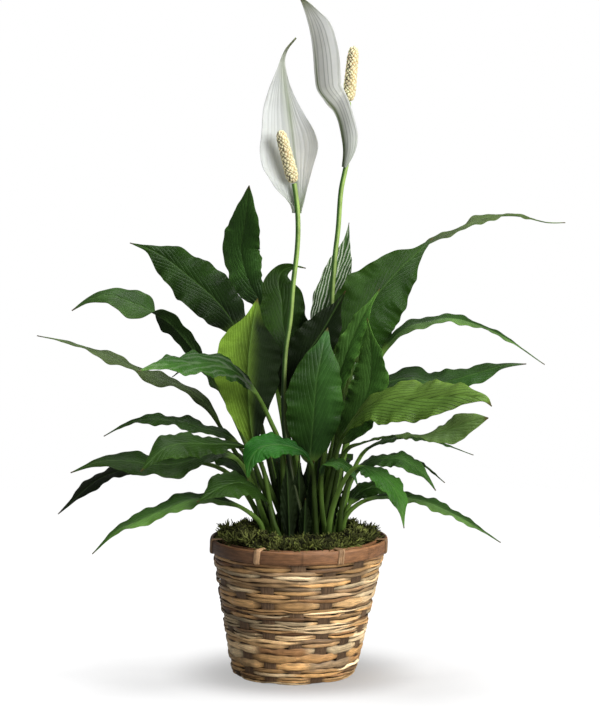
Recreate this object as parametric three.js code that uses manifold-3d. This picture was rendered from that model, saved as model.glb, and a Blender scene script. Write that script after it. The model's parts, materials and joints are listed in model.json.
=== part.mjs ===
// A peace lily (Spathiphyllum) growing in a woven basket with a bamboo rim.
//
// Units are millimetres, +Z is up, and the origin is the middle of the basket's flat underside.
// The plant is seen from the -Y side: +X is to the right and +Y points away.
// Azimuths are degrees in plan: 0 is right, 90 is away, 180 is left and 270 is towards the viewer.

import * as THREE from "three";
import { mergeVertices } from "three/addons/utils/BufferGeometryUtils.js";
import Module from "manifold-3d";

const wasm = await Module();
wasm.setup();

// ---------------------------------------------------------------- driving sizes

const CLEARANCE = 0.3; // between pieces that rest on or in each other
const STALK_CLEARANCE = 0.9; // round a stalk in its hole, as stalks lean a little
const FACETS = 32; // round the basket and all that stands in it

const BASKET = {
  height: 131, // floor to the top of the rim
  baseRadius: 57.5, // outside, at the floor
  topRadius: 80.5, // outside, under the rim
  wall: 4.2,
  lean: 5, // the hand-woven basket leans this far to the right over its height
  rows: 16, // rows of weaver strips
  stakes: 16, // upright stakes that the strips pass in front of and behind
  relief: 1.5, // how far a strip bulges out over a stake
  floorThickness: 5,
};

const RIM = { height: 11.5, thickness: 3.8, ties: 7, tieWidth: 7, tieThickness: 1.1 };
const TIE_SHIFTS = { 0: 2, 6: -1.5 }; // degrees by which the two front ties stand off an even spacing
const INNER_HOOP_RADIUS = 73; // the inner hoop's inside

const POT = { baseRadius: 50, topRadius: 71.2, topZ: 124.5, wall: 1.4 };

const SOIL_TOP = 118;
const MOSS = { innerRadius: 42, base: 2, crest: 19, lumps: 2.6, segments: 40 };
const CROWN_X = 8; // the plant's crown stands this far right of the basket's foot
const PLANTING_DEPTH = 12; // how deep a stalk stands in the soil

const LEAF = {
  thickness: 0.7,
  stalkRadius: 1.9, // where the stalk meets the blade
  footRadius: 2.9, // where the sheathed stalk meets the soil
  ribDepth: 1.6, // midrib below the blade, at its base
  curl: 0.22, // how far each half bows over towards its edge, as a share of its width
  broadest: 0.4, // how far along the blade it is widest, unless the plan says otherwise
  drip: 0.5, // share of the width drawn in towards the drip tip, unless the plan says otherwise
  ruffles: 5, // waves along each edge of a broad leaf
  narrowRuffles: 4, // and of a narrow one
  tipHalf: 0.5, // half width that the drip tip runs out to
  flattens: 0.12, // share of the blade over which the round stalk spreads flat
};

const FLOWER = { stalkRadius: 2.6, footRadius: 3.1, spadixRadius: 6.4, bumps: 12, bumpHeight: 0.9 };

const SURFACES = {
  leaf: { color: 0x2f5a26, roughness: 0.4 },
  youngLeaf: { color: 0x5f8f2e, roughness: 0.4 },
  shadedLeaf: { color: 0x23431f, roughness: 0.4 },
  stalk: { color: 0x7fa04a, roughness: 0.5 },
  spathe: { color: 0xe9ece2, roughness: 0.5 },
  spadix: { color: 0xf0e2a8, roughness: 0.7 },
  weave: { color: 0xb98f55, roughness: 0.6 },
  bamboo: { color: 0x8a5a38, roughness: 0.45 },
  tie: { color: 0xc59a6a, roughness: 0.6 },
  pot: { color: 0x1d1d1c, roughness: 0.5 },
  soil: { color: 0x2e241c, roughness: 0.95 },
  moss: { color: 0x4c5223, roughness: 0.95 },
};

// ---------------------------------------------------------------- the planting plan
// azimuth   direction of the leaf's own upright plane
// foot      [distance from the crown's middle, azimuth] where the stalk enters the soil
// arch      [reach, height] points along stalk and midrib, the last one being the tip; a third
//           number is how far a point stands to the left of the upright plane, seen going outward
// blade     length of the blade, measured back from the tip; width is its full width, reached at
//           the share of its length that "broadest" names
// roll      degrees the blade is turned about its midrib; twist is added between base and tip,
//           or over the stretch of the blade that "turns" names
// fold      degrees each half is raised, like an open book; ruffle is the edge waves' height
// drip      share of the width that is drawn in towards the drip tip
// tone      which of the leaf colours it has; columns is the number of points across the blade

const LEAVES = {
  // the tall leaves
  leaf_upright_left: {
    azimuth: 118, foot: [15, 130],
    arch: [[34, 220], [62, 290], [91, 350], [108, 363], [123, 382], [128, 397], [123, 414],
      [116, 434], [110, 460]],
    blade: 150, width: 45, broadest: 0.54, roll: -62, fold: 12, ruffle: 0.8, drip: 0.1,
    tone: "shadedLeaf", columns: 5,
  },
  leaf_high_left: {
    azimuth: 150, foot: [20, 152],
    arch: [[40, 215], [58, 278], [71, 322], [83, 340], [100, 356], [123, 372], [148, 388],
      [169, 398], [194, 404]],
    blade: 152, width: 48, broadest: 0.36, roll: -58, fold: 8, ruffle: 3.4, drip: 0.62, columns: 5,
  },
  leaf_back_hook: {
    azimuth: 104, foot: [11, 80],
    arch: [[20, 200], [36, 262, 4], [44, 305, 3], [52, 330, 6], [58, 352, 6], [62, 369, 8],
      [63, 379, 4], [60, 384, -6], [57, 382, -18]],
    blade: 140, width: 50, roll: 6, twist: -30, fold: 12, ruffle: 2, columns: 5,
  },
  leaf_striped: {
    azimuth: 60, foot: [25, 78],
    arch: [[30, 200], [34, 290], [40, 335], [54, 357], [67, 376], [79, 394], [87, 410], [91, 425]],
    blade: 132, width: 36, roll: 30, fold: 34, ruffle: 1.5, columns: 5,
  },
  leaf_dark_diagonal: {
    azimuth: 12, foot: [3, 200],
    arch: [[-8, 200], [-16, 246], [-14, 268], [-6, 286], [5, 306], [17, 323], [27, 339], [42, 365]],
    blade: 118, width: 44, roll: 66, fold: 14, ruffle: 1, tone: "shadedLeaf",
  },
  leaf_high_right: {
    azimuth: 27, foot: [21, 26],
    arch: [[36, 215], [48, 290], [57, 320], [65, 339], [77, 355], [92, 370], [108, 385], [125, 398],
      [142, 411]],
    blade: 152, width: 68, broadest: 0.3, roll: 66, fold: 8, ruffle: 2.5, columns: 5,
  },
  leaf_far_right: {
    azimuth: 38, foot: [29, 36],
    arch: [[46, 235], [85, 352], [114, 382], [139, 398], [161, 406], [184, 413], [208, 419],
      [230, 426], [271, 427], [316, 418], [340, 417]],
    blade: 226, width: 23, roll: -12, twist: 24, fold: 14, ruffle: 2,
  },
  leaf_lime: {
    azimuth: 205, foot: [15, 214],
    arch: [[36, 186], [51, 227], [54, 246], [56, 270], [56, 293], [55, 312], [52, 331], [49, 347],
      [46, 360]],
    blade: 146, width: 66, broadest: 0.57, roll: 68, fold: 22, ruffle: 1, tone: "youngLeaf",
    columns: 5,
  },
  leaf_front_tall: {
    azimuth: 90, foot: [15, 300],
    arch: [[-17, 170, -8], [-21, 212, -8], [-25, 240, -10], [-28, 268, -12], [-28, 286, -14],
      [-26, 301, -17], [-22, 316, -20], [-14, 332, -24]],
    blade: 132, width: 54, broadest: 0.43, roll: 0, fold: 8, ruffle: 2, drip: 0.3, columns: 5,
  },
  leaf_upright_right: {
    azimuth: 345, foot: [15, 338],
    arch: [[24, 180], [36, 220], [48, 240], [58, 259], [65, 278], [67, 300], [66, 321], [63, 341]],
    blade: 126, width: 46, roll: 64, fold: 12, ruffle: 1.5, tone: "shadedLeaf", columns: 5,
  },
  leaf_bright_right: {
    azimuth: 355, foot: [11, 20],
    arch: [[20, 200], [29, 262], [34, 283], [41, 305], [49, 325], [59, 345], [73, 368]],
    blade: 118, width: 26, roll: 60, fold: 16, ruffle: 1.5, tone: "youngLeaf",
  },
  leaf_back_tip: {
    azimuth: 52, foot: [30, 60],
    arch: [[44, 205], [80, 268], [116, 305], [128, 313], [141, 322], [155, 333]],
    blade: 120, width: 28, roll: 30, fold: 16, ruffle: 2,
  },
  // the middle leaves
  leaf_twisted_left: {
    azimuth: 172, foot: [22, 178],
    arch: [[42, 190], [71, 256], [84, 279], [95, 296], [106, 311], [126, 333], [146, 345],
      [165, 353], [185, 359], [204, 355], [222, 344]],
    blade: 182, width: 35, broadest: 0.6, roll: 58, twist: -94, turns: [0.41, 0.61], fold: 10,
    ruffle: 2.5,
  },
  leaf_long_left: {
    azimuth: 165, foot: [30, 168],
    arch: [[46, 175], [79, 230], [91, 250], [104, 263], [121, 272], [141, 277], [163, 286],
      [202, 301], [242, 312], [266, 316]],
    blade: 206, width: 24, roll: -14, twist: 6, fold: 12, ruffle: 3,
  },
  leaf_bright_left: {
    azimuth: 222, foot: [23, 222],
    arch: [[24, 190], [27, 221], [38, 242], [49, 261], [60, 276], [74, 289], [90, 299], [108, 305],
      [131, 307], [155, 308], [178, 308], [198, 305]],
    blade: 152, width: 38, broadest: 0.52, roll: -62, twist: 38, turns: [0.05, 0.6], fold: 8,
    ruffle: 2.5, tone: "youngLeaf", columns: 5,
  },
  leaf_arch_right: {
    azimuth: 12, foot: [29, 4],
    arch: [[44, 220], [74, 296], [82, 311], [93, 323], [107, 331], [123, 334], [139, 337],
      [156, 335], [194, 320], [239, 290]],
    blade: 190, width: 28, roll: 12, fold: 14, ruffle: 1.5,
  },
  leaf_wavy_right: {
    azimuth: 354, foot: [21, 356],
    arch: [[38, 206, 3], [49, 252, 2], [61, 268], [74, 277], [89, 282], [105, 284], [122, 280],
      [136, 281], [164, 289], [190, 297], [211, 299]],
    blade: 152, width: 42, roll: 28, fold: 8, ruffle: 2.5,
  },
  leaf_front_right: {
    azimuth: 321, foot: [21, 322],
    arch: [[34, 185], [43, 218], [49, 231], [60, 246], [76, 260], [98, 269], [127, 272], [155, 276],
      [178, 280], [196, 281], [211, 280], [218, 274]],
    blade: 190, width: 56, broadest: 0.48, roll: 38, fold: 6, ruffle: 2.5, drip: 0.3, columns: 5,
  },
  leaf_scoop_right: {
    azimuth: 341, foot: [29, 338],
    arch: [[36, 190, -6], [46, 217, -7], [61, 225, -6], [78, 230, -3], [97, 233], [116, 233],
      [131, 236], [145, 240], [167, 249], [182, 253]],
    blade: 138, width: 32, broadest: 0.7, roll: 0, twist: 54, turns: [0.5, 0.8], fold: 6,
    ruffle: 1.5, drip: 0.1, columns: 5,
  },
  leaf_back_middle: {
    azimuth: 96, foot: [20, 108],
    arch: [[38, 212], [64, 268], [104, 304], [150, 300], [178, 282]],
    blade: 150, width: 46, roll: 0, fold: 12, ruffle: 3,
  },
  leaf_back_right: {
    azimuth: 66, foot: [33, 88],
    arch: [[46, 200], [74, 240], [114, 264], [160, 262], [188, 246]],
    blade: 150, width: 44, roll: 8, fold: 12, ruffle: 3,
  },
  leaf_back_left: {
    azimuth: 134, foot: [30, 130],
    arch: [[46, 205], [76, 252], [116, 280], [158, 282], [186, 268]],
    blade: 150, width: 44, roll: -8, fold: 12, ruffle: 3,
  },
  // the low leaves that spread over the rim
  leaf_narrow_left: {
    azimuth: 177, foot: [37, 184],
    arch: [[43, 172], [54, 209], [70, 227], [83, 232], [97, 235], [111, 240], [128, 242],
      [145, 243], [159, 241], [173, 235], [189, 226]],
    blade: 138, width: 27, roll: -16, fold: 12, ruffle: 2, tone: "shadedLeaf",
  },
  leaf_fold_left: {
    azimuth: 212, foot: [30, 213],
    arch: [[38, 176], [46, 206], [61, 221], [81, 226], [98, 227], [115, 229], [133, 230],
      [149, 227], [161, 219], [174, 208]],
    blade: 126, width: 34, broadest: 0.6, roll: -34, fold: 6, ruffle: 1.5, columns: 5,
  },
  leaf_olive_left: {
    azimuth: 186, foot: [30, 190],
    arch: [[40, 160], [50, 188], [61, 205], [76, 213], [90, 211], [106, 206], [125, 202],
      [144, 203], [163, 206], [191, 206], [219, 196]],
    blade: 164, width: 38, broadest: 0.48, roll: -26, fold: 8, ruffle: 2.5,
  },
  leaf_dark_left: {
    azimuth: 168, foot: [38, 168],
    arch: [[46, 156], [65, 183], [80, 194], [100, 199], [120, 201], [139, 199], [154, 196],
      [173, 191], [201, 180], [242, 144]],
    blade: 158, width: 30, broadest: 0.62, roll: 24, fold: 8, ruffle: 1.5, tone: "shadedLeaf",
  },
  leaf_lowest_left: {
    azimuth: 198, foot: [38, 199],
    arch: [[41, 145], [49, 154], [62, 163], [76, 169], [93, 173], [110, 173], [130, 167],
      [147, 161], [164, 154], [180, 148], [205, 126]],
    blade: 160, width: 30, roll: -16, fold: 12, ruffle: 1.5,
  },
  leaf_front_low_left: {
    azimuth: 218, foot: [34, 236],
    arch: [[40, 150, 8], [42, 165, 4], [49, 177], [60, 185], [74, 190], [90, 189], [106, 184],
      [123, 177]],
    blade: 94, width: 44, roll: -26, fold: 8, ruffle: 1.5, tone: "shadedLeaf",
  },
  leaf_front_drop_left: {
    azimuth: 200, foot: [30, 297],
    arch: [[-1, 175, 31], [1, 200, 32], [8, 215, 34], [20, 222, 34], [40, 226, 34], [55, 223, 34],
      [63, 214, 35], [66, 204, 36], [67, 194, 37]],
    blade: 96, width: 28, broadest: 0.55, roll: -26, twist: -30, fold: 10, ruffle: 1.2,
    tone: "youngLeaf", columns: 5,
  },
  leaf_front_drop_right: {
    azimuth: 335, foot: [31, 317],
    arch: [[27, 170, -15], [29, 194, -18], [34, 206, -23], [45, 209, -26], [54, 207, -23],
      [63, 199, -23], [68, 188, -23]],
    blade: 60, width: 24, roll: 8, fold: 8, ruffle: 1.5,
  },
  leaf_drop_right: {
    azimuth: 308, foot: [36, 312],
    arch: [[46, 164], [66, 196], [78, 206], [92, 209], [111, 206], [127, 200], [138, 192],
      [146, 180], [150, 160]],
    blade: 94, width: 27, roll: 6, fold: 6, ruffle: 1.5, tone: "youngLeaf",
  },
  leaf_strand_right: {
    azimuth: 10, foot: [38, 23],
    arch: [[43, 162, 6], [50, 192, 3], [62, 213], [80, 221], [100, 224], [119, 222], [139, 216],
      [167, 205]],
    blade: 118, width: 20, roll: 0, fold: 12, ruffle: 1.5,
  },
  leaf_low_right: {
    azimuth: 332, foot: [37, 340],
    arch: [[43, 168], [53, 194], [70, 207], [88, 212], [103, 213], [116, 208], [127, 201],
      [134, 194], [140, 186]],
    blade: 104, width: 32, roll: 16, fold: 8, ruffle: 1.5,
  },
  leaf_low_back_right: {
    azimuth: 24, foot: [38, 40],
    arch: [[44, 160], [52, 182], [64, 196], [82, 201], [103, 201], [125, 194], [152, 173]],
    blade: 108, width: 28, roll: 0, fold: 12, ruffle: 2,
  },
  leaf_low_dark_right: {
    azimuth: 18, foot: [38, 9],
    arch: [[41, 146, -5], [48, 162, -3], [56, 169], [67, 174], [80, 174], [94, 169], [116, 158]],
    blade: 78, width: 28, roll: 22, fold: 10, ruffle: 1.5, tone: "shadedLeaf",
  },
  leaf_lowest_right: {
    azimuth: 352, foot: [38, 355],
    arch: [[42, 151], [53, 163], [66, 169], [82, 172], [101, 171], [120, 167], [139, 159],
      [160, 148], [189, 130]],
    blade: 138, width: 28, roll: 10, fold: 14, ruffle: 1.2,
  },
  leaf_back_low_right: {
    azimuth: 72, foot: [38, 68],
    arch: [[46, 158], [70, 184], [112, 194], [156, 172]],
    blade: 118, width: 36, roll: 0, fold: 12, ruffle: 2.5,
  },
  leaf_back_low_middle: {
    azimuth: 104, foot: [38, 102],
    arch: [[46, 160], [72, 192], [112, 206], [160, 190]],
    blade: 124, width: 38, roll: 0, fold: 12, ruffle: 2.5,
  },
  leaf_back_low_left: {
    azimuth: 142, foot: [37, 138],
    arch: [[46, 158], [72, 188], [114, 204], [162, 186]],
    blade: 126, width: 38, roll: 0, fold: 12, ruffle: 2.5,
  },
};

// A stalk is a list of [x, y, z] points that ends where the spadix begins.
// Each row of a spathe is [x, y, z, left, right]: a point of its middle line, then its half widths.
const FLOWERS = {
  flower_front: {
    stalk: [
      [10, -20, 106], [9.5, -20, 143], [3.2, -20, 170], [-3.4, -19, 203], [-8.6, -17, 240],
      [-9.2, -15, 280], [-7.6, -14, 311], [-3.4, -12, 339], [-0.6, -11, 372], [3.2, -10, 405],
      [4.1, -10, 424], [3.2, -10, 446], [0.4, -10, 467],
    ],
    spadixTip: [-12.5, -13, 516],
    spathe: [
      [3.2, -6.4, 439, 9, 5], [3.7, -5.6, 452, 19, 8], [3.2, -4, 465, 27, 12], [2.3, -1, 480, 34, 17],
      [0.4, 2, 498, 34, 25], [-1, 4, 512, 31, 23], [-2.9, 5, 527, 28, 15], [-4.8, 6, 541, 24, 9],
      [-7.3, 6, 557, 16, 4.5], [-9, 5, 571, 8, 2.4], [-9.7, 3.5, 581, 3, 1.8], [-6.6, 1, 591, 1.4, 1.4],
      [2.3, -3, 602, 0.8, 0.8],
    ],
    faces: [-0.1, -1, 0.1],
    bend: [4, 42],
  },
  flower_back: {
    stalk: [
      [20, 14, 106], [21, 15, 150], [30, 19, 240], [34, 21, 310], [36.4, 22, 361], [39.2, 23, 398],
      [42, 24, 422], [44.8, 24, 459], [48.2, 24.4, 476], [51, 25, 490], [52.5, 25, 510],
      [52.4, 24.5, 525], [51.6, 24, 542],
    ],
    spadixTip: [56.7, 20, 594],
    spathe: [
      [46.2, 23, 481, 5, 5], [47.4, 23, 497, 13, 13], [46.1, 23, 511, 18, 18], [43.3, 22, 525, 19, 19],
      [39, 21, 535, 21, 21], [31.4, 20, 544, 25, 25], [24.3, 18, 554, 28, 28], [22, 17, 567.5, 29, 29],
      [21, 16, 581.5, 29, 29], [19.6, 15, 595.5, 28, 28], [17.2, 13, 609.4, 26, 26],
      [13.9, 11, 621.5, 21, 21], [9.7, 8, 633.5, 12, 12], [5, 5, 642, 1, 1],
    ],
    faces: [0.92, 0.38, 0],
    bend: [4.5, 26],
  },
};

// ---------------------------------------------------------------- small helpers

const ACROSS = new THREE.Vector3(1, 0, 0);

const radians = (degrees) => (degrees * Math.PI) / 180;
const mix = (a, b, t) => a + (b - a) * t;

function smoothstep(low, high, value) {
  const t = Math.min(1, Math.max(0, (value - low) / (high - low)));
  return t * t * (3 - 2 * t);
}

function inDirection(azimuth, reach, height) {
  const a = radians(azimuth);
  return new THREE.Vector3(CROWN_X + reach * Math.cos(a), reach * Math.sin(a), height);
}

function basketRadius(z) {
  return mix(BASKET.baseRadius, BASKET.topRadius, z / (BASKET.height - RIM.height));
}

// Moves a shape sideways in proportion to its height, as the whole basket leans.
function lean(geometry) {
  const shear = new THREE.Matrix4().makeShear(0, 0, 0, 0, BASKET.lean / BASKET.height, 0);
  return geometry.applyMatrix4(shear);
}

// A closed skin over two matching grids of points, one above the other, joined along their borders.
// Both faces are cut into triangles along the same diagonals, so a thin waved blade can't cross itself.
function skin(upper, lower) {
  const rows = upper.length;
  const columns = upper[0].length;
  const positions = [...upper.flat(), ...lower.flat()].flatMap((p) => [p.x, p.y, p.z]);
  const top = (i, k) => i * columns + k;
  const bottom = (i, k) => rows * columns + i * columns + k;
  const faces = [];
  const quad = (a, b, c, d) => faces.push(a, b, c, a, c, d);
  for (let i = 0; i < rows - 1; i++) {
    for (let k = 0; k < columns - 1; k++) {
      faces.push(top(i, k), top(i + 1, k + 1), top(i, k + 1), top(i, k), top(i + 1, k), top(i + 1, k + 1));
      faces.push(bottom(i, k), bottom(i, k + 1), bottom(i + 1, k + 1));
      faces.push(bottom(i, k), bottom(i + 1, k + 1), bottom(i + 1, k));
    }
    quad(top(i, 0), bottom(i, 0), bottom(i + 1, 0), top(i + 1, 0));
    const last = columns - 1;
    quad(top(i, last), top(i + 1, last), bottom(i + 1, last), bottom(i, last));
  }
  for (let k = 0; k < columns - 1; k++) {
    quad(top(0, k), top(0, k + 1), bottom(0, k + 1), bottom(0, k));
    quad(top(rows - 1, k), bottom(rows - 1, k), bottom(rows - 1, k + 1), top(rows - 1, k + 1));
  }
  const geometry = new THREE.BufferGeometry();
  geometry.setAttribute("position", new THREE.Float32BufferAttribute(positions, 3));
  geometry.setIndex(faces);
  return geometry;
}

// A solid swept through rings of points of one size, closed with a fan at each end.
function loft(rings) {
  const count = rings[0].length;
  const positions = rings.flat().flatMap((p) => [p.x, p.y, p.z]);
  const faces = [];
  const at = (i, k) => i * count + (k % count);
  for (let i = 0; i < rings.length - 1; i++) {
    for (let k = 0; k < count; k++) {
      faces.push(at(i, k), at(i, k + 1), at(i + 1, k + 1), at(i, k), at(i + 1, k + 1), at(i + 1, k));
    }
  }
  for (let k = 1; k < count - 1; k++) {
    faces.push(at(0, 0), at(0, k + 1), at(0, k));
    const end = rings.length - 1;
    faces.push(at(end, 0), at(end, k), at(end, k + 1));
  }
  const geometry = new THREE.BufferGeometry();
  geometry.setAttribute("position", new THREE.Float32BufferAttribute(positions, 3));
  geometry.setIndex(faces);
  return geometry;
}

// The side and upward directions across a curve, kept as near as possible to a given side.
function frameAcross(tangent, side, roll) {
  const s = side.clone().addScaledVector(tangent, -side.dot(tangent)).normalize();
  const up = new THREE.Vector3().crossVectors(tangent, s);
  return {
    side: s.clone().multiplyScalar(Math.cos(roll)).addScaledVector(up, Math.sin(roll)),
    up: up.clone().multiplyScalar(Math.cos(roll)).addScaledVector(s, -Math.sin(roll)),
  };
}

function toSolid(geometry) {
  const bare = geometry.index ? geometry.toNonIndexed() : geometry.clone();
  bare.deleteAttribute("normal");
  bare.deleteAttribute("uv");
  const merged = mergeVertices(bare, 1e-3);
  const mesh = new wasm.Mesh({
    numProp: 3,
    vertProperties: merged.attributes.position.array,
    triVerts: new Uint32Array(merged.index.array),
  });
  return new wasm.Manifold(mesh);
}

function fromSolid(solid) {
  const mesh = solid.getMesh();
  const geometry = new THREE.BufferGeometry();
  geometry.setAttribute("position", new THREE.Float32BufferAttribute(mesh.vertProperties, 3));
  geometry.setIndex([...mesh.triVerts]);
  return geometry;
}

// ---------------------------------------------------------------- leaves

// Share of the full width at a place along a leaf blade, from its base at 0 to its drawn-out tip at 1.
function leafOutline(t, broadest, drip) {
  const body = Math.sin(Math.PI * t ** (Math.log(0.5) / Math.log(broadest))) ** 0.9;
  return body * (1 - drip * smoothstep(0.7, 0.92, t));
}

function leafCurve(leaf) {
  const [footReach, footAzimuth] = leaf.foot;
  const a = radians(leaf.azimuth);
  const points = [
    inDirection(footAzimuth, footReach, SOIL_TOP - PLANTING_DEPTH),
    inDirection(footAzimuth, footReach, SOIL_TOP + 10),
  ];
  for (const [reach, height, sideways = 0] of leaf.arch) {
    const point = inDirection(leaf.azimuth, reach, height);
    points.push(point.add(new THREE.Vector3(-Math.sin(a) * sideways, Math.cos(a) * sideways, 0)));
  }
  return new THREE.CatmullRomCurve3(points, false, "centripetal");
}

// One leaf: a round stalk that flattens into a folded blade with waved edges and a drip tip.
function leafGeometry(leaf) {
  const curve = leafCurve(leaf);
  const bladeStart = 1 - leaf.blade / curve.getLength();
  const columns = leaf.columns ?? 3;
  const ruffles = columns > 3 ? LEAF.ruffles : LEAF.narrowRuffles;
  const steps = 2 * ruffles;
  const stalkStations = [0, 0.2, 0.5, 0.78].map((share) => share * bladeStart);
  const bladeStations = Array.from({ length: steps + 1 }, (_, j) => mix(bladeStart, 1, j / steps));
  const a = radians(leaf.azimuth);
  const side = new THREE.Vector3(-Math.sin(a), Math.cos(a), 0);
  const fold = radians(leaf.fold);
  const [turnFrom, turnTo] = leaf.turns ?? [0, 0.9];
  const upper = [];
  const lower = [];
  for (const station of [...stalkStations, ...bladeStations]) {
    const t = Math.max(0, (station - bladeStart) / (1 - bladeStart));
    const roll = radians(leaf.roll + (leaf.twist ?? 0) * smoothstep(turnFrom, turnTo, t));
    const across = frameAcross(curve.getTangentAt(station), side, roll);
    const centre = curve.getPointAt(station);
    const outline = leafOutline(t, leaf.broadest ?? LEAF.broadest, leaf.drip ?? LEAF.drip);
    const half = t > 0 ? Math.max(LEAF.tipHalf, (leaf.width / 2) * outline) : 0;
    const flat = smoothstep(0, LEAF.flattens, t);
    const radius = mix(LEAF.footRadius, LEAF.stalkRadius, Math.min(1, station / bladeStart));
    const rib = mix(LEAF.ribDepth, LEAF.thickness / 2, t);
    const swell = Math.sin(Math.PI * Math.min(1, t * 1.1));
    const wave = leaf.ruffle * swell * Math.cos(2 * Math.PI * ruffles * t);
    const rowUp = [];
    const rowDown = [];
    for (let k = 0; k < columns; k++) {
      const u = mix(-1, 1, k / (columns - 1));
      const angle = Math.PI / 2 - (u * Math.PI * (columns - 1)) / (2 * columns);
      const open = half * Math.sin(fold) * (Math.abs(u) - 0.5);
      const bow = half * LEAF.curl * (u * u - 0.35);
      const rise = open - bow + wave * u * Math.abs(u);
      const sideways = half * u * Math.cos(fold) + radius * Math.cos(angle) * (1 - flat);
      const thick = LEAF.thickness / 2;
      const above = mix(radius * Math.sin(angle), thick + rise, flat);
      const below = mix(-radius * Math.sin(angle), (u === 0 ? -rib : -thick) + rise, flat);
      const place = (height) =>
        centre.clone().addScaledVector(across.side, sideways).addScaledVector(across.up, height);
      rowUp.push(place(above));
      rowDown.push(place(below));
    }
    upper.push(rowUp);
    lower.push(rowDown);
  }
  return skin(upper, lower);
}

// ---------------------------------------------------------------- flowers

function ringAround(centre, tangent, side, radius, sides) {
  const across = frameAcross(tangent, side, 0);
  return Array.from({ length: sides }, (_, k) => {
    const angle = (2 * Math.PI * k) / sides;
    return centre
      .clone()
      .addScaledVector(across.side, radius * Math.cos(angle))
      .addScaledVector(across.up, radius * Math.sin(angle));
  });
}

function stalkGeometry(flower) {
  const points = flower.stalk.map((p) => new THREE.Vector3(...p));
  const curve = new THREE.CatmullRomCurve3(points, false, "centripetal");
  const sides = 7;
  const steps = 13;
  const rings = Array.from({ length: steps + 1 }, (_, i) => {
    const s = i / steps;
    const radius = mix(FLOWER.footRadius, FLOWER.stalkRadius, Math.min(1, s * 2));
    return ringAround(curve.getPointAt(s), curve.getTangentAt(s), ACROSS, radius, sides);
  });
  return loft(rings);
}

// The spadix: a blunt finger whose crowded florets stand out as staggered bumps.
function spadixGeometry(flower) {
  const tip = new THREE.Vector3(...flower.spadixTip);
  const top = new THREE.Vector3(...flower.stalk.at(-1));
  const axis = tip.clone().sub(top);
  const length = axis.length();
  axis.normalize();
  const foot = top.addScaledVector(axis, 2 * CLEARANCE);
  const rings = [];
  const steps = Math.round(length / (FLOWER.spadixRadius / 2));
  for (let i = 0; i <= steps; i++) {
    const t = i / steps;
    const blunt = Math.max(0.35, 1 - Math.abs(2 * t - 1) ** 9) ** 0.5;
    const body = FLOWER.spadixRadius * mix(1, 0.82, t) * blunt;
    const centre = foot.clone().addScaledVector(axis, t * length);
    const ring = ringAround(centre, axis, ACROSS, 1, FLOWER.bumps);
    ring.forEach((p, k) => {
      const bump = (i + k) % 2 ? FLOWER.bumpHeight / 2 : -FLOWER.bumpHeight / 2;
      p.sub(centre).multiplyScalar(body + bump).add(centre);
    });
    rings.push(ring);
  }
  return loft(rings);
}

// The spathe: a hood whose cross-section is an arc, rolled round its stalk at the foot and opening above.
function spatheGeometry(flower) {
  const rows = flower.spathe;
  const points = rows.map(([x, y, z]) => new THREE.Vector3(x, y, z));
  const curve = new THREE.CatmullRomCurve3(points, false, "centripetal");
  const faces = new THREE.Vector3(...flower.faces);
  const columns = 7;
  const thick = LEAF.thickness / 2;
  const [tight, wide] = flower.bend;
  const upper = [];
  const lower = [];
  rows.forEach(([, , , left, right], i) => {
    const t = i / (rows.length - 1);
    const tangent = curve.getTangent(t);
    const up = faces.clone().addScaledVector(tangent, -faces.dot(tangent)).normalize();
    const side = new THREE.Vector3().crossVectors(up, tangent);
    const bend = mix(tight, wide, smoothstep(0, 0.35, t));
    const rowUp = [];
    const rowDown = [];
    for (let k = 0; k < columns; k++) {
      const u = mix(-1, 1, k / (columns - 1));
      const angle = (u * (u > 0 ? left : right)) / bend;
      const normal = up.clone().multiplyScalar(Math.cos(angle)).addScaledVector(side, -Math.sin(angle));
      const middle = points[i]
        .clone()
        .addScaledVector(side, bend * Math.sin(angle))
        .addScaledVector(up, bend * (1 - Math.cos(angle)));
      rowUp.push(middle.clone().addScaledVector(normal, thick));
      rowDown.push(middle.clone().addScaledVector(normal, -thick));
    }
    upper.push(rowUp);
    lower.push(rowDown);
  });
  return skin(upper, lower);
}

// ---------------------------------------------------------------- basket

// Height of the woven relief: strips cross in front of every other stake, one stake later each row.
function weaveRelief(angle, row, onCrest) {
  if (!onCrest) return -BASKET.relief * 0.6;
  const over = Math.cos((angle * BASKET.stakes) / 2 + row * Math.PI);
  return BASKET.relief * Math.max(-0.35, over);
}

function basketWallGeometry() {
  const around = FACETS;
  const top = BASKET.height - 2.5;
  const wovenTop = BASKET.height - RIM.height - 1;
  const rowHeight = wovenTop / BASKET.rows;
  const circle = (radiusAt, z) =>
    Array.from({ length: around }, (_, k) => {
      const angle = (2 * Math.PI * k) / around;
      const r = radiusAt(angle);
      return new THREE.Vector3(r * Math.cos(angle), r * Math.sin(angle), z);
    });
  const rings = [];
  for (let level = 0; level <= 2 * BASKET.rows; level++) {
    const z = (level * rowHeight) / 2;
    const row = Math.floor(level / 2);
    rings.push(circle((angle) => basketRadius(z) + weaveRelief(angle, row, level % 2 === 1), z));
  }
  const rimRadius = BASKET.topRadius;
  rings.push(circle(() => rimRadius, wovenTop + 1.5));
  rings.push(circle(() => rimRadius, top));
  rings.push(circle(() => rimRadius - BASKET.wall, top));
  rings.push(circle(() => rimRadius - BASKET.wall, wovenTop));
  rings.push(circle(() => basketRadius(0) - BASKET.wall, 0));
  return lean(tube(rings));
}

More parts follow.
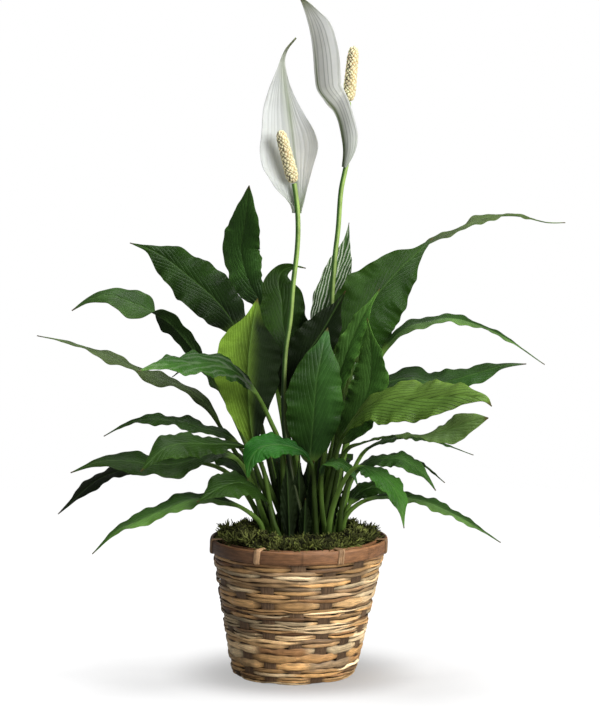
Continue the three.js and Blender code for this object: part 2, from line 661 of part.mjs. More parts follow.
// A ring-shaped solid: circles of points that run up the outside, over the top and down the inside.
function tube(rings) {
  const count = rings[0].length;
  const positions = rings.flat().flatMap((p) => [p.x, p.y, p.z]);
  const faces = [];
  for (let i = 0; i < rings.length; i++) {
    const j = (i + 1) % rings.length;
    for (let k = 0; k < count; k++) {
      const n = (k + 1) % count;
      faces.push(i * count + k, i * count + n, j * count + n, i * count + k, j * count + n, j * count + k);
    }
  }
  const geometry = new THREE.BufferGeometry();
  geometry.setAttribute("position", new THREE.Float32BufferAttribute(positions, 3));
  geometry.setIndex(faces);
  return geometry;
}

// Turns a closed [radius, height] profile, listed anticlockwise, about the upright axis.
function turned(profile, segments) {
  const points = [...profile, profile[0]].map(([r, z]) => new THREE.Vector2(r, z));
  return new THREE.LatheGeometry(points, segments).rotateX(Math.PI / 2);
}

// Turns a [radius, height] profile that starts and ends on the axis into a solid disc or cup.
function turnedSolid(profile) {
  const points = profile.map(([r, z]) => new THREE.Vector2(r, z));
  return new THREE.LatheGeometry(points, FACETS).rotateX(Math.PI / 2);
}

function basketFloorGeometry() {
  const radius = basketRadius(0) - BASKET.wall - CLEARANCE;
  const profile = [[0, 0], [radius, 0], [radius, BASKET.floorThickness], [0, BASKET.floorThickness]];
  return lean(turnedSolid(profile));
}

function outerHoopGeometry() {
  const inner = BASKET.topRadius + CLEARANCE;
  const outer = inner + RIM.thickness;
  const low = BASKET.height - RIM.height;
  const high = BASKET.height;
  const profile = [
    [inner, low], [outer - 1, low], [outer, low + 3], [outer, high - 3], [outer - 1, high], [inner, high],
  ];
  return lean(turned(profile, FACETS));
}

function innerHoopGeometry() {
  const outer = BASKET.topRadius - BASKET.wall - CLEARANCE;
  const inner = INNER_HOOP_RADIUS;
  const low = BASKET.height - RIM.height + 3;
  return lean(turned([[inner, low], [outer, low], [outer, BASKET.height], [inner, BASKET.height]], FACETS));
}

// A strap bent over both hoops: its outline lies in the upright plane through the basket's axis.
function tieGeometry(azimuth) {
  const out = BASKET.topRadius + 2 * CLEARANCE + RIM.thickness;
  const inside = INNER_HOOP_RADIUS * Math.cos(Math.PI / FACETS) - 2 * CLEARANCE;
  const top = BASKET.height + CLEARANCE;
  const low = BASKET.height - RIM.height;
  const t = RIM.tieThickness;
  const outline = [
    [out, low], [out + t, low], [out + t, top + t], [inside - t, top + t],
    [inside - t, low + 6], [inside, low + 6], [inside, top], [out, top],
  ];
  const shape = new THREE.Shape(outline.map(([r, z]) => new THREE.Vector2(r, z)));
  const strap = new THREE.ExtrudeGeometry(shape, { depth: RIM.tieWidth, bevelEnabled: false });
  strap.translate(0, 0, -RIM.tieWidth / 2).rotateX(Math.PI / 2);
  return lean(strap.rotateZ(radians(azimuth)));
}

// ---------------------------------------------------------------- pot, soil and moss

function potGeometry() {
  const foot = BASKET.floorThickness + CLEARANCE;
  const profile = [
    [0, foot], [POT.baseRadius, foot], [POT.topRadius, POT.topZ], [POT.topRadius - POT.wall, POT.topZ],
    [POT.baseRadius - POT.wall, foot + POT.wall], [0, foot + POT.wall],
  ];
  return lean(turnedSolid(profile));
}

function potInnerRadius(z) {
  const foot = BASKET.floorThickness + CLEARANCE;
  return mix(POT.baseRadius, POT.topRadius, (z - foot) / (POT.topZ - foot)) - POT.wall;
}

// An upright hole for a stalk, a little wider than its foot and deeper than it stands.
function stalkHole(centre, footRadius) {
  const sides = 7;
  const radius = (footRadius + STALK_CLEARANCE) / Math.cos(Math.PI / sides);
  const depth = PLANTING_DEPTH + CLEARANCE;
  const hole = new THREE.CylinderGeometry(radius, radius, depth + 1, sides).rotateX(Math.PI / 2);
  return toSolid(hole.translate(centre.x, centre.y, SOIL_TOP - depth / 2 + 0.5));
}

function soilGeometry() {
  const low = BASKET.floorThickness + POT.wall + 2 * CLEARANCE;
  const gap = 2 * CLEARANCE;
  const profile = [
    [0, low], [potInnerRadius(low) - gap, low], [potInnerRadius(SOIL_TOP) - gap, SOIL_TOP], [0, SOIL_TOP],
  ];
  let soil = toSolid(lean(turnedSolid(profile)));
  for (const leaf of Object.values(LEAVES)) {
    soil = soil.subtract(stalkHole(inDirection(leaf.foot[1], leaf.foot[0], 0), LEAF.footRadius));
  }
  for (const flower of Object.values(FLOWERS)) {
    const [x, y] = flower.stalk[0];
    soil = soil.subtract(stalkHole(new THREE.Vector3(x, y, 0), FLOWER.footRadius));
  }
  return fromSolid(soil);
}

// A mound of moss round the crown: three waves of different pitch make its lumps.
function mossGeometry() {
  const around = MOSS.segments;
  const outerRadius = potInnerRadius(SOIL_TOP) - 4 * CLEARANCE;
  const levels = [0, 0.12, 0.4, 0.7, 1];
  const centreX = (BASKET.lean * SOIL_TOP) / BASKET.height;
  const rings = [];
  const ring = (share, height) =>
    Array.from({ length: around }, (_, k) => {
      const angle = (2 * Math.PI * k) / around;
      const c = Math.cos(angle);
      const s = Math.sin(angle);
      const out = new THREE.Vector2(centreX + outerRadius * c, outerRadius * s);
      const inner = new THREE.Vector2(CROWN_X + MOSS.innerRadius * c, MOSS.innerRadius * s);
      const p = out.lerp(inner, share);
      return new THREE.Vector3(p.x, p.y, height(angle, share));
    });
  const lumps = (angle, share) =>
    MOSS.lumps *
    (Math.sin(7 * angle + 9 * share) +
      0.6 * Math.sin(13 * angle - 7 * share) +
      0.5 * Math.cos(19 * angle));
  const floor = SOIL_TOP + CLEARANCE;
  rings.push(ring(0, () => floor));
  for (const share of levels) {
    const mound = MOSS.base + MOSS.crest * Math.sin(Math.PI * (0.17 + 0.63 * share)) ** 0.8;
    rings.push(ring(share, (angle, place) => floor + Math.max(MOSS.base, mound + lumps(angle, place))));
  }
  rings.push(ring(1, () => floor));
  return tube(rings);
}

// ---------------------------------------------------------------- assembly

function piece(name, geometry, kind) {
  const { color, roughness } = SURFACES[kind];
  const mesh = new THREE.Mesh(geometry, new THREE.MeshStandardMaterial({ color, roughness, metalness: 0 }));
  mesh.name = name;
  return mesh;
}

const basket = new THREE.Group();
basket.add(piece("basket_wall", basketWallGeometry(), "weave"));
basket.add(piece("basket_floor", basketFloorGeometry(), "weave"));
basket.add(piece("rim_hoop_outer", outerHoopGeometry(), "bamboo"));
basket.add(piece("rim_hoop_inner", innerHoopGeometry(), "bamboo"));
for (let i = 0; i < RIM.ties; i++) {
  const azimuth = 270 + (360 * (i + 0.5)) / RIM.ties + (TIE_SHIFTS[i] ?? 0);
  basket.add(piece(`rim_tie_${i + 1}`, tieGeometry(azimuth), "tie"));
}

const filledPot = new THREE.Group();
filledPot.add(piece("grow_pot", potGeometry(), "pot"));
filledPot.add(piece("soil", soilGeometry(), "soil"));
filledPot.add(piece("moss", mossGeometry(), "moss"));

const foliage = new THREE.Group();
for (const [name, leaf] of Object.entries(LEAVES)) {
  foliage.add(piece(name, leafGeometry(leaf), leaf.tone ?? "leaf"));
}

const blooms = new THREE.Group();
for (const [name, flower] of Object.entries(FLOWERS)) {
  blooms.add(piece(`${name}_stalk`, stalkGeometry(flower), "stalk"));
  blooms.add(piece(`${name}_spathe`, spatheGeometry(flower), "spathe"));
  blooms.add(piece(`${name}_spadix`, spadixGeometry(flower), "spadix"));
}

const pottedPlant = new THREE.Group();
pottedPlant.add(basket, filledPot, foliage, blooms);

export default pottedPlant;
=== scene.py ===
"""A peace lily in a woven basket with a bamboo rim, dressed for the library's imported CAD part.

Every form is worked out in millimetres, +Z up, from the middle of the basket's flat underside, and
made in metres. The plant is seen from the -Y side. The leaves, flowers, basket and moss repeat the
part's own shapes with far more points, and add veins, strips, fibres and sprigs to them.
Azimuths are degrees in plan: 0 is right, 90 is away, 180 is left and 270 is towards the viewer.
"""

import json
import math
from collections import namedtuple

import bpy
import numpy as np
from bpy.props import FloatProperty, FloatVectorProperty, IntProperty, PointerProperty
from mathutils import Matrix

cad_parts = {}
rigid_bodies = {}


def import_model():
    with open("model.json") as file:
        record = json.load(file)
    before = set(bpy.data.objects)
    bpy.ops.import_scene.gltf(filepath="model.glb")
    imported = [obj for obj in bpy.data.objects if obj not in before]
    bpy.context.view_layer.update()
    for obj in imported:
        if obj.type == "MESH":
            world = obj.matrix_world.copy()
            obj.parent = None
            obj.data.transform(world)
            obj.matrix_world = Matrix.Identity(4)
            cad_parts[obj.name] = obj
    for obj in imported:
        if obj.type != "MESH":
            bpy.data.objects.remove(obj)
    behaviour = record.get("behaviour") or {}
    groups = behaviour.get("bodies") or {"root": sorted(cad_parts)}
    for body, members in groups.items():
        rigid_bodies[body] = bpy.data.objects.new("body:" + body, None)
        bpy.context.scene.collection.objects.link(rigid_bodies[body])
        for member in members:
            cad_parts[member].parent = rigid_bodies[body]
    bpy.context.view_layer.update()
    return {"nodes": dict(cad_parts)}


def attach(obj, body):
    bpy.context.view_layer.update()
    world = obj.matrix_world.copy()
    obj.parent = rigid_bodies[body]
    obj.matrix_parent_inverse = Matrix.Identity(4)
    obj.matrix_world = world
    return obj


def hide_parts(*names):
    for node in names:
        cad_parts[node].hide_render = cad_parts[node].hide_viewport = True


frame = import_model()

bl_info = {
    "name": "Potted Peace Lily",
    "version": (1, 0, 0),
    "blender": (4, 5, 0),
    "location": "3D View > Sidebar > Peace Lily",
    "description": "Dresses a peace lily in a woven basket with leaves, flowers, strips and moss",
    "category": "Object",
}

MM = 0.001  # metres in a millimetre

# ---------------------------------------------------------------- the part's own sizes, in mm

CROWN_X = 8.0  # the crown of the plant stands this far right of the basket's foot
SOIL_TOP = 118.0
PLANTING_DEPTH = 12.0
BASKET_HEIGHT = 131.0
BASKET_LEAN = 5.0  # how far the basket leans to the right over its height
BASE_RADIUS = 57.5
TOP_RADIUS = 80.5
WOVEN_TOP = 118.5
ROWS = 16
STAKES = 16
HOOP_HEIGHT = 11.5
HOOP_THICKNESS = 3.8
INNER_HOOP_RADIUS = 73.0
WALL = 4.2
CLEARANCE = 0.3
TIES = 7
TIE_SHIFTS = {0: 2, 6: -1.5}  # degrees by which the two front ties stand off an even spacing
POT_FOOT = (50, 5.3)  # radius and height of the nursery pot's underside
POT_WALL_TOP = (71.2, 124.5, 1.4)  # radius, height and wall of the nursery pot's rim
MOSS_INNER_RADIUS = 42.0

# ---------------------------------------------------------------- the planting plan
# azimuth  direction of the leaf's upright plane; foot is where its stalk enters the soil
# arch     (reach, height) of points along stalk and midrib, then how far left of the plane, if any
# blade    length of the blade, back from the tip; width is its full width, reached at "broadest"
# roll     degrees the blade is turned about its midrib; twist is added over the stretch "turns"
# fold     degrees each half is raised; ruffle is the height of the edge waves, ruffles their number
# tone     which of the TONES colours the leaf
# split    where across the blade the colours of its halves meet, as painted light and shade; soft how gradually
# base     how bright the blade's foot is, below 1 painted shade and above 1 painted light, then the share of the blade where its full colour starts
# slant    how far the side veins lean towards the tip; apart is their spacing against the usual one
# veins    how clear the side veins are, below 0 for dark ones; stripe is how strong the pale streaks of painted sheen are
# drip     how much of the width near the tip is drawn in to a drip tip

LEAVES = {
    "upright_left": dict(
        azimuth=118, foot=(15, 130), blade=150, width=45, broadest=0.54, roll=-62, fold=12,
        ruffle=0.8, ruffles=5, tone="mid", drip=0.1,
        arch=((34, 220), (62, 290), (91, 350), (108, 363), (123, 382), (128, 397), (123, 414),
            (116, 434), (110, 460))),
    "high_left": dict(
        azimuth=150, foot=(20, 152), blade=152, width=48, roll=-58, fold=8, ruffle=3.4, ruffles=5,
        tone="deep", drip=0.62, broadest=0.36, base=(0.2, 0.6),
        arch=((40, 215), (58, 278), (71, 322), (83, 340), (100, 356), (123, 372), (148, 388),
            (169, 398), (194, 404))),
    "back_hook": dict(
        azimuth=104, foot=(11, 80), blade=140, width=50, roll=6, twist=-30, fold=12, ruffle=2,
        ruffles=5, tone="forest",
        arch=((20, 200), (36, 262, 4), (44, 305, 3), (52, 330, 6), (58, 352, 6), (62, 369, 8),
            (63, 379, 4), (60, 384, -6), (57, 382, -18))),
    "striped": dict(
        azimuth=60, foot=(25, 78), blade=132, width=36, roll=30, fold=34, ruffle=1.5, ruffles=5,
        tone="striped", slant=8.0, stripe=0.7,
        arch=((30, 200), (34, 290), (40, 335), (54, 357), (67, 376), (79, 394), (87, 410),
            (91, 425))),
    "dark_diagonal": dict(
        azimuth=12, foot=(3, 200), blade=118, width=44, roll=66, fold=14, ruffle=1, tone="night",
        arch=((-8, 200), (-16, 246), (-14, 268), (-6, 286), (5, 306), (17, 323), (27, 339),
            (42, 365))),
    "high_right": dict(
        azimuth=27, foot=(21, 26), blade=152, width=68, roll=66, fold=8, ruffle=2.5, ruffles=5,
        tone="deep", broadest=0.3, base=(1.3, 0.5),
        arch=((36, 215), (48, 290), (57, 320), (65, 339), (77, 355), (92, 370), (108, 385),
            (125, 398), (142, 411))),
    "far_right": dict(
        azimuth=38, foot=(29, 36), blade=226, width=23, roll=-12, twist=24, fold=14, ruffle=2,
        tone="dull", base=(0.4, 0.45),
        arch=((46, 235), (85, 352), (114, 382), (139, 398), (161, 406), (184, 413), (208, 419),
            (230, 426), (271, 427), (316, 418), (340, 417))),
    "lime": dict(
        azimuth=205, foot=(15, 214), blade=146, width=66, broadest=0.57, roll=68, fold=22,
        ruffle=1, ruffles=5, tone="lime", split=-0.12, soft=0.55,
        arch=((36, 186), (51, 227), (54, 246), (56, 270), (56, 293), (55, 312), (52, 331),
            (49, 347), (46, 360))),
    "front_tall": dict(
        azimuth=90, foot=(15, 300), blade=132, width=54, broadest=0.43, roll=0, fold=8, ruffle=2,
        ruffles=5, tone="blue", slant=2.4, drip=0.3, veins=0.75,
        arch=((-17, 170, -8), (-21, 212, -8), (-25, 240, -10), (-28, 268, -12), (-28, 286, -14),
            (-26, 301, -17), (-22, 316, -20), (-14, 332, -24))),
    "upright_right": dict(
        azimuth=345, foot=(15, 338), blade=126, width=46, roll=64, fold=12, ruffle=1.5, ruffles=5,
        tone="bright",
        arch=((24, 180), (36, 220), (48, 240), (58, 259), (65, 278), (67, 300), (66, 321),
            (63, 341))),
    "bright_right": dict(
        azimuth=355, foot=(11, 20), blade=118, width=26, roll=60, fold=16, ruffle=1.5,
        tone="bright",
        arch=((20, 200), (29, 262), (34, 283), (41, 305), (49, 325), (59, 345), (73, 368))),
    "back_tip": dict(
        azimuth=52, foot=(30, 60), blade=120, width=28, roll=30, fold=16, ruffle=2, tone="mid",
        stripe=0.45, slant=8.0,
        arch=((44, 205), (80, 268), (116, 305), (128, 313), (141, 322), (155, 333))),
    "twisted_left": dict(
        azimuth=172, foot=(22, 178), blade=182, width=35, broadest=0.6, roll=58, twist=-94,
        turns=(0.41, 0.61), fold=10, ruffle=2.5, tone="twisted",
        arch=((42, 190), (71, 256), (84, 279), (95, 296), (106, 311), (126, 333), (146, 345),
            (165, 353), (185, 359), (204, 355), (222, 344))),
    "long_left": dict(
        azimuth=165, foot=(30, 168), blade=206, width=24, roll=-14, twist=6, fold=12, ruffle=3,
        tone="dull",
        arch=((46, 175), (79, 230), (91, 250), (104, 263), (121, 272), (141, 277), (163, 286),
            (202, 301), (242, 312), (266, 316))),
    "bright_left": dict(
        azimuth=222, foot=(23, 222), blade=152, width=38, broadest=0.52, roll=-62, fold=8,
        ruffle=2.5, ruffles=5, tone="fresh", twist=38, turns=(0.05, 0.6), stripe=0.06, slant=3.5,
        base=(0.05, 1.0), veins=0.8,
        arch=((24, 190), (27, 221), (38, 242), (49, 261), (60, 276), (74, 289), (90, 299),
            (108, 305), (131, 307), (155, 308), (178, 308), (198, 305))),
    "arch_right": dict(
        azimuth=12, foot=(29, 4), blade=190, width=28, roll=12, fold=14, ruffle=1.5,
        tone="arched", soft=0.15,
        arch=((44, 220), (74, 296), (82, 311), (93, 323), (107, 331), (123, 334), (139, 337),
            (156, 335), (194, 320), (239, 290))),
    "wavy_right": dict(
        azimuth=354, foot=(21, 356), blade=152, width=42, roll=28, fold=8, ruffle=2.5,
        tone="wavy", base=(0.35, 0.6),
        arch=((38, 206, 3), (49, 252, 2), (61, 268), (74, 277), (89, 282), (105, 284), (122, 280),
            (136, 281), (164, 289), (190, 297), (211, 299))),
    "front_right": dict(
        azimuth=321, foot=(21, 322), blade=190, width=56, broadest=0.48, roll=38, fold=6,
        ruffle=2.5, ruffles=5, tone="olive_bright", slant=4.0, drip=0.3, veins=-1.5, apart=1.8,
        arch=((34, 185), (43, 218), (49, 231), (60, 246), (76, 260), (98, 269), (127, 272),
            (155, 276), (178, 280), (196, 281), (211, 280), (218, 274))),
    "scoop_right": dict(
        azimuth=341, foot=(29, 338), blade=138, width=32, broadest=0.7, roll=0, twist=54,
        turns=(0.5, 0.8), fold=6, ruffle=1.5, ruffles=5, tone="scoop", drip=0.1,
        arch=((36, 190, -6), (46, 217, -7), (61, 225, -6), (78, 230, -3), (97, 233), (116, 233),
            (131, 236), (145, 240), (167, 249), (182, 253))),
    "back_middle": dict(
        azimuth=96, foot=(20, 108), blade=150, width=46, roll=0, fold=12, ruffle=3, tone="deep",
        arch=((38, 212), (64, 268), (104, 304), (150, 300), (178, 282))),
    "back_right": dict(
        azimuth=66, foot=(33, 88), blade=150, width=44, roll=8, fold=12, ruffle=3, tone="deep",
        arch=((46, 200), (74, 240), (114, 264), (160, 262), (188, 246))),
    "back_left": dict(
        azimuth=134, foot=(30, 130), blade=150, width=44, roll=-8, fold=12, ruffle=3, tone="deep",
        arch=((46, 205), (76, 252), (116, 280), (158, 282), (186, 268))),
    "narrow_left": dict(
        azimuth=177, foot=(37, 184), blade=138, width=27, roll=-16, fold=12, ruffle=2, tone="deep",
        arch=((43, 172), (54, 209), (70, 227), (83, 232), (97, 235), (111, 240), (128, 242),
            (145, 243), (159, 241), (173, 235), (189, 226))),
    "fold_left": dict(
        azimuth=212, foot=(30, 213), blade=126, width=34, roll=-34, fold=6, ruffle=1.5, ruffles=5,
        tone="forest", broadest=0.6, base=(0.35, 0.8),
        arch=((38, 176), (46, 206), (61, 221), (81, 226), (98, 227), (115, 229), (133, 230),
            (149, 227), (161, 219), (174, 208))),
    "olive_left": dict(
        azimuth=186, foot=(30, 190), blade=164, width=38, broadest=0.48, roll=-26, fold=8,
        ruffle=2.5, tone="forest",
        arch=((40, 160), (50, 188), (61, 205), (76, 213), (90, 211), (106, 206), (125, 202),
            (144, 203), (163, 206), (191, 206), (219, 196))),
    "dark_left": dict(
        azimuth=168, foot=(38, 168), blade=158, width=30, broadest=0.62, roll=24, fold=8,
        ruffle=1.5, tone="night",
        arch=((46, 156), (65, 183), (80, 194), (100, 199), (120, 201), (139, 199), (154, 196),
            (173, 191), (201, 180), (242, 144))),
    "lowest_left": dict(
        azimuth=198, foot=(38, 199), blade=160, width=30, roll=-16, fold=12, ruffle=1.5,
        tone="banded", split=0.1,
        arch=((41, 145), (49, 154), (62, 163), (76, 169), (93, 173), (110, 173), (130, 167),
            (147, 161), (164, 154), (180, 148), (205, 126))),
    "front_low_left": dict(
        azimuth=218, foot=(34, 236), blade=94, width=44, roll=-26, fold=8, ruffle=1.5,
        tone="forest",
        arch=((40, 150, 8), (42, 165, 4), (49, 177), (60, 185), (74, 190), (90, 189), (106, 184),
            (123, 177))),
    "front_drop_left": dict(
        azimuth=200, foot=(30, 297), blade=96, width=28, broadest=0.55, roll=-26, twist=-30,
        fold=10, ruffle=1.2, ruffles=5, tone="emerald", slant=3.0, base=(0.3, 0.6),
        arch=((-1, 175, 31), (1, 200, 32), (8, 215, 34), (20, 222, 34), (40, 226, 34),
            (55, 223, 34), (63, 214, 35), (66, 204, 36), (67, 194, 37))),
    "front_drop_right": dict(
        azimuth=335, foot=(31, 317), blade=60, width=24, roll=8, fold=8, ruffle=1.5, tone="blue",
        arch=((27, 170, -15), (29, 194, -18), (34, 206, -23), (45, 209, -26), (54, 207, -23),
            (63, 199, -23), (68, 188, -23))),
    "drop_right": dict(
        azimuth=308, foot=(36, 312), blade=94, width=27, roll=6, fold=6, ruffle=1.5, tone="fresh",
        arch=((46, 164), (66, 196), (78, 206), (92, 209), (111, 206), (127, 200), (138, 192),
            (146, 180), (150, 160))),
    "strand_right": dict(
        azimuth=10, foot=(38, 23), blade=118, width=20, roll=0, fold=12, ruffle=1.5, tone="deep",
        arch=((43, 162, 6), (50, 192, 3), (62, 213), (80, 221), (100, 224), (119, 222), (139, 216),
            (167, 205))),
    "low_right": dict(
        azimuth=332, foot=(37, 340), blade=104, width=32, roll=16, fold=8, ruffle=1.5,
        tone="mid", veins=1.3,
        arch=((43, 168), (53, 194), (70, 207), (88, 212), (103, 213), (116, 208), (127, 201),
            (134, 194), (140, 186))),
    "low_back_right": dict(
        azimuth=24, foot=(38, 40), blade=108, width=28, roll=0, fold=12, ruffle=2, tone="deep",
        arch=((44, 160), (52, 182), (64, 196), (82, 201), (103, 201), (125, 194), (152, 173))),
    "low_dark_right": dict(
        azimuth=18, foot=(38, 9), blade=78, width=28, roll=22, fold=10, ruffle=1.5, tone="deep",
        arch=((41, 146, -5), (48, 162, -3), (56, 169), (67, 174), (80, 174), (94, 169),
            (116, 158))),
    "lowest_right": dict(
        azimuth=352, foot=(38, 355), blade=138, width=28, roll=10, fold=14, ruffle=1.2,
        tone="arched",
        arch=((42, 151), (53, 163), (66, 169), (82, 172), (101, 171), (120, 167), (139, 159),
            (160, 148), (189, 130))),
    "back_low_right": dict(
        azimuth=72, foot=(38, 68), blade=118, width=36, roll=0, fold=12, ruffle=2.5, tone="deep",
        arch=((46, 158), (70, 184), (112, 194), (156, 172))),
    "back_low_middle": dict(
        azimuth=104, foot=(38, 102), blade=124, width=38, roll=0, fold=12, ruffle=2.5, tone="deep",
        arch=((46, 160), (72, 192), (112, 206), (160, 190))),
    "back_low_left": dict(
        azimuth=142, foot=(37, 138), blade=126, width=38, roll=0, fold=12, ruffle=2.5, tone="deep",
        arch=((46, 158), (72, 188), (114, 204), (162, 186))),
}

# stalk    points along the flower stalk; tip is the end of the spadix that carries on from it
# spathe   rows of (x, y, z, reach to the left, reach to the right) of the hood, from foot to tip
# faces    the way the hood opens; bend is the radius of its arc at the foot and above it
# ribs     how clear the hood's ribs are; spacing is how many of the usual number it has, as a share
# line     the width and strength of its green midrib
# grey     how grey its right and left halves are, as painted shade; band is a grey-green band along the midrib
FLOWERS = {
    "front": dict(
        stalk=((10, -20, 106), (9.5, -20, 143), (3.2, -20, 170), (-3.4, -19, 203), (-8.6, -17, 240),
            (-9.2, -15, 280), (-7.6, -14, 311), (-3.4, -12, 339), (-0.6, -11, 372), (3.2, -10, 405),
            (4.1, -10, 424), (3.2, -10, 446), (0.4, -10, 467)),
        tip=(-12.5, -13, 516), faces=(-0.1, -1, 0.1), bend=(4, 42),
        ribs=0.3, spacing=0.8, line=(1.2, 0.6), grey=(0.25, 0.66), band=0.7,
        spathe=((3.2, -6.4, 439, 9, 5), (3.7, -5.6, 452, 19, 8), (3.2, -4, 465, 27, 12),
            (2.3, -1, 480, 34, 17), (0.4, 2, 498, 34, 25), (-1, 4, 512, 31, 23),
            (-2.9, 5, 527, 28, 15), (-4.8, 6, 541, 24, 9), (-7.3, 6, 557, 16, 4.5),
            (-9, 5, 571, 8, 2.4), (-9.7, 3.5, 581, 3, 1.8), (-6.6, 1, 591, 1.4, 1.4),
            (2.3, -3, 602, 0.8, 0.8))),
    "back": dict(
        stalk=((20, 14, 106), (21, 15, 150), (30, 19, 240), (34, 21, 310), (36.4, 22, 361),
            (39.2, 23, 398), (42, 24, 422), (44.8, 24, 459), (48.2, 24.4, 476), (51, 25, 490),
            (52.5, 25, 510), (52.4, 24.5, 525), (51.6, 24, 542)),
        tip=(56.7, 20, 594), faces=(0.92, 0.38, 0), bend=(4.5, 26),
        ribs=1.3, spacing=0.6, line=(2.8, 1.0), grey=(0.0, 0.1), band=0.0,
        spathe=((46.2, 23, 481, 5, 5), (47.4, 23, 497, 13, 13), (46.1, 23, 511, 18, 18),
            (43.3, 22, 525, 19, 19), (39, 21, 535, 21, 21), (31.4, 20, 544, 25, 25),
            (24.3, 18, 554, 28, 28), (22, 17, 567.5, 29, 29), (21, 16, 581.5, 29, 29),
            (19.6, 15, 595.5, 28, 28), (17.2, 13, 609.4, 26, 26), (13.9, 11, 621.5, 21, 21),
            (9.7, 8, 633.5, 12, 12), (5, 5, 642, 1, 1))),
}

# ---------------------------------------------------------------- what a user can change


def colour(name, description, value):
    return FloatVectorProperty(
        name=name, description=description, default=value, subtype="COLOR", size=3, min=0, max=1
    )


def length(name, description, value):
    return FloatProperty(
        name=name, description=description, default=value * MM, min=0, unit="LENGTH",
        subtype="DISTANCE", precision=4,
    )


def share(name, description, value, most=1.0):
    return FloatProperty(
        name=name, description=description, default=value, min=0, max=most, subtype="FACTOR"
    )


def number(name, description, value):
    return IntProperty(name=name, description=description, default=value, min=1)


def power(name, description, value):
    return FloatProperty(
        name=name, description=description, default=value, min=0, unit="POWER"
    )


class LeafSettings(bpy.types.PropertyGroup):
    step: length("Step", "Distance between the sections of a blade", 1.2)
    thickness: length("Thickness", "Thickness of a leaf blade", 0.5)
    vein_spacing: length("Vein spacing", "Distance between side veins along the midrib", 13)
    vein_depth: length("Vein depth", "How far the blade swells between two side veins", 0.55)
    leaf: colour("Leaf", "Colour of a full-grown leaf", (0.020, 0.055, 0.007))
    young: colour("Young leaf", "Colour of a young, bright leaf", (0.165, 0.29, 0.028))
    shaded: colour("Shaded leaf", "Colour of a leaf in the shade of others", (0.006, 0.013, 0.003))
    stalk: colour("Leaf stalk", "Colour of the leaf stalks", (0.070, 0.125, 0.022))
    rib: colour("Midrib", "Colour of the midrib", (0.11, 0.22, 0.05))
    dry: colour("Dry tip", "Colour of the dried point of a leaf", (0.075, 0.048, 0.016))
    ragged: share("Ragged edge", "How uneven a leaf's outline is, as a share of its width", 0.07)
    # The pale streaks are painted sheen: light reflected along the ribs of a few leaves.
    streak: colour("Streak", "Colour of the pale streaks on a few leaves", (0.66, 0.72, 0.58))
    gloss: share("Roughness", "Roughness of a leaf's upper face", 0.36)


class FlowerSettings(bpy.types.PropertyGroup):
    stalk: colour("Stalk", "Colour of the flower stalks", (0.25, 0.36, 0.09))
    spathe: colour("Spathe", "Colour of the white hoods", (0.80, 0.82, 0.78))
    spathe_grey: colour("Spathe grey", "Colour of the hoods' shaded halves", (0.50, 0.53, 0.49))
    spathe_green: colour("Spathe green", "Colour of the hoods' midribs", (0.075, 0.125, 0.03))
    spathe_tip: colour("Spathe tip", "Colour of the hoods' pointed tips", (0.10, 0.12, 0.04))
    floret: colour("Floret", "Colour of the florets on the spadix", (0.88, 0.79, 0.50))
    floret_gap: colour("Floret gap", "Colour between the florets", (0.06, 0.055, 0.015))
    ribs: number("Ribs", "Ribs along each half of a hood", 9)


class BasketSettings(bpy.types.PropertyGroup):
    relief: length("Relief", "How far a strip swings in and out round the stakes", 1.2)
    strip_thickness: length("Strip thickness", "Thickness of a woven strip", 1.1)
    stake_width: length("Stake width", "Width of an upright stake", 13)
    pale: colour("Pale strip", "Colour of the palest strips", (0.95, 0.73, 0.43))
    gold: colour("Golden strip", "Colour of the golden strips", (0.70, 0.40, 0.155))
    brown: colour("Brown strip", "Colour of the brown strips", (0.22, 0.10, 0.038))
    stake: colour("Stake", "Colour of the upright stakes", (0.15, 0.088, 0.045))
    hoop: colour("Hoop", "Colour of the bamboo hoops", (0.26, 0.12, 0.050))
    tie: colour("Tie", "Colour of the rim's ties", (0.50, 0.30, 0.155))
    pot: colour("Nursery pot", "Colour of the nursery pot", (0.012, 0.012, 0.012))


class MossSettings(bpy.types.PropertyGroup):
    sprigs: number("Sprigs", "Number of moss sprigs", 9800)
    sprig_length: length("Sprig length", "Length of a typical moss sprig", 3.0)
    green: colour("Moss green", "Colour of the sprigs' tips", (0.125, 0.145, 0.034))
    brown: colour("Moss brown", "Colour between the sprigs", (0.030, 0.030, 0.010))
    soil: colour("Soil", "Colour of the soil", (0.030, 0.020, 0.012))


class StageSettings(bpy.types.PropertyGroup):
    key: power("Key light", "Power of the main light", 84)
    fill: power("Fill light", "Power of the weak light", 3.5)
    overhead: power("Top light", "Power of the light above", 44)
    ambient: share("Ambient", "Strength of the light from all round", 0.2, 4.0)
    glow: share("Floor glow", "Light that the floor gives off itself, to stay white", 0.70, 4.0)
    floor: colour("Floor", "Colour of the floor", (0.50, 0.50, 0.505))


SETTINGS = {
    "lily_leaves": LeafSettings,
    "lily_flowers": FlowerSettings,
    "lily_basket": BasketSettings,
    "lily_moss": MossSettings,
    "lily_stage": StageSettings,
}

# ---------------------------------------------------------------- numbers and curves


def mix(a, b, t):
    return a + (b - a) * t


def smoothstep(low, high, value):
    t = np.clip((value - low) / (high - low), 0, 1)
    return t * t * (3 - 2 * t)


def unit(vectors):
    return vectors / np.linalg.norm(vectors, axis=-1, keepdims=True)


def dot(a, b):
    return (a * b).sum(-1, keepdims=True)


def bearing(azimuth, reach, height):
    """The point this far from the crown's middle in plan, at this height."""
    a = math.radians(azimuth)
    return np.array([CROWN_X + reach * math.cos(a), reach * math.sin(a), height])


def ripple(places, rng, size, count=7):
    """A smooth random swell, mostly within -1 to 1: a few sine waves of about this size."""
    ways = unit(rng.normal(size=(count, 3))) * (2 * math.pi / size)
    ways = ways * rng.uniform(0.6, 1.6, (count, 1))
    starts = rng.uniform(0, 2 * math.pi, count)
    return np.sin(places @ ways.T + starts).mean(-1) * 1.6


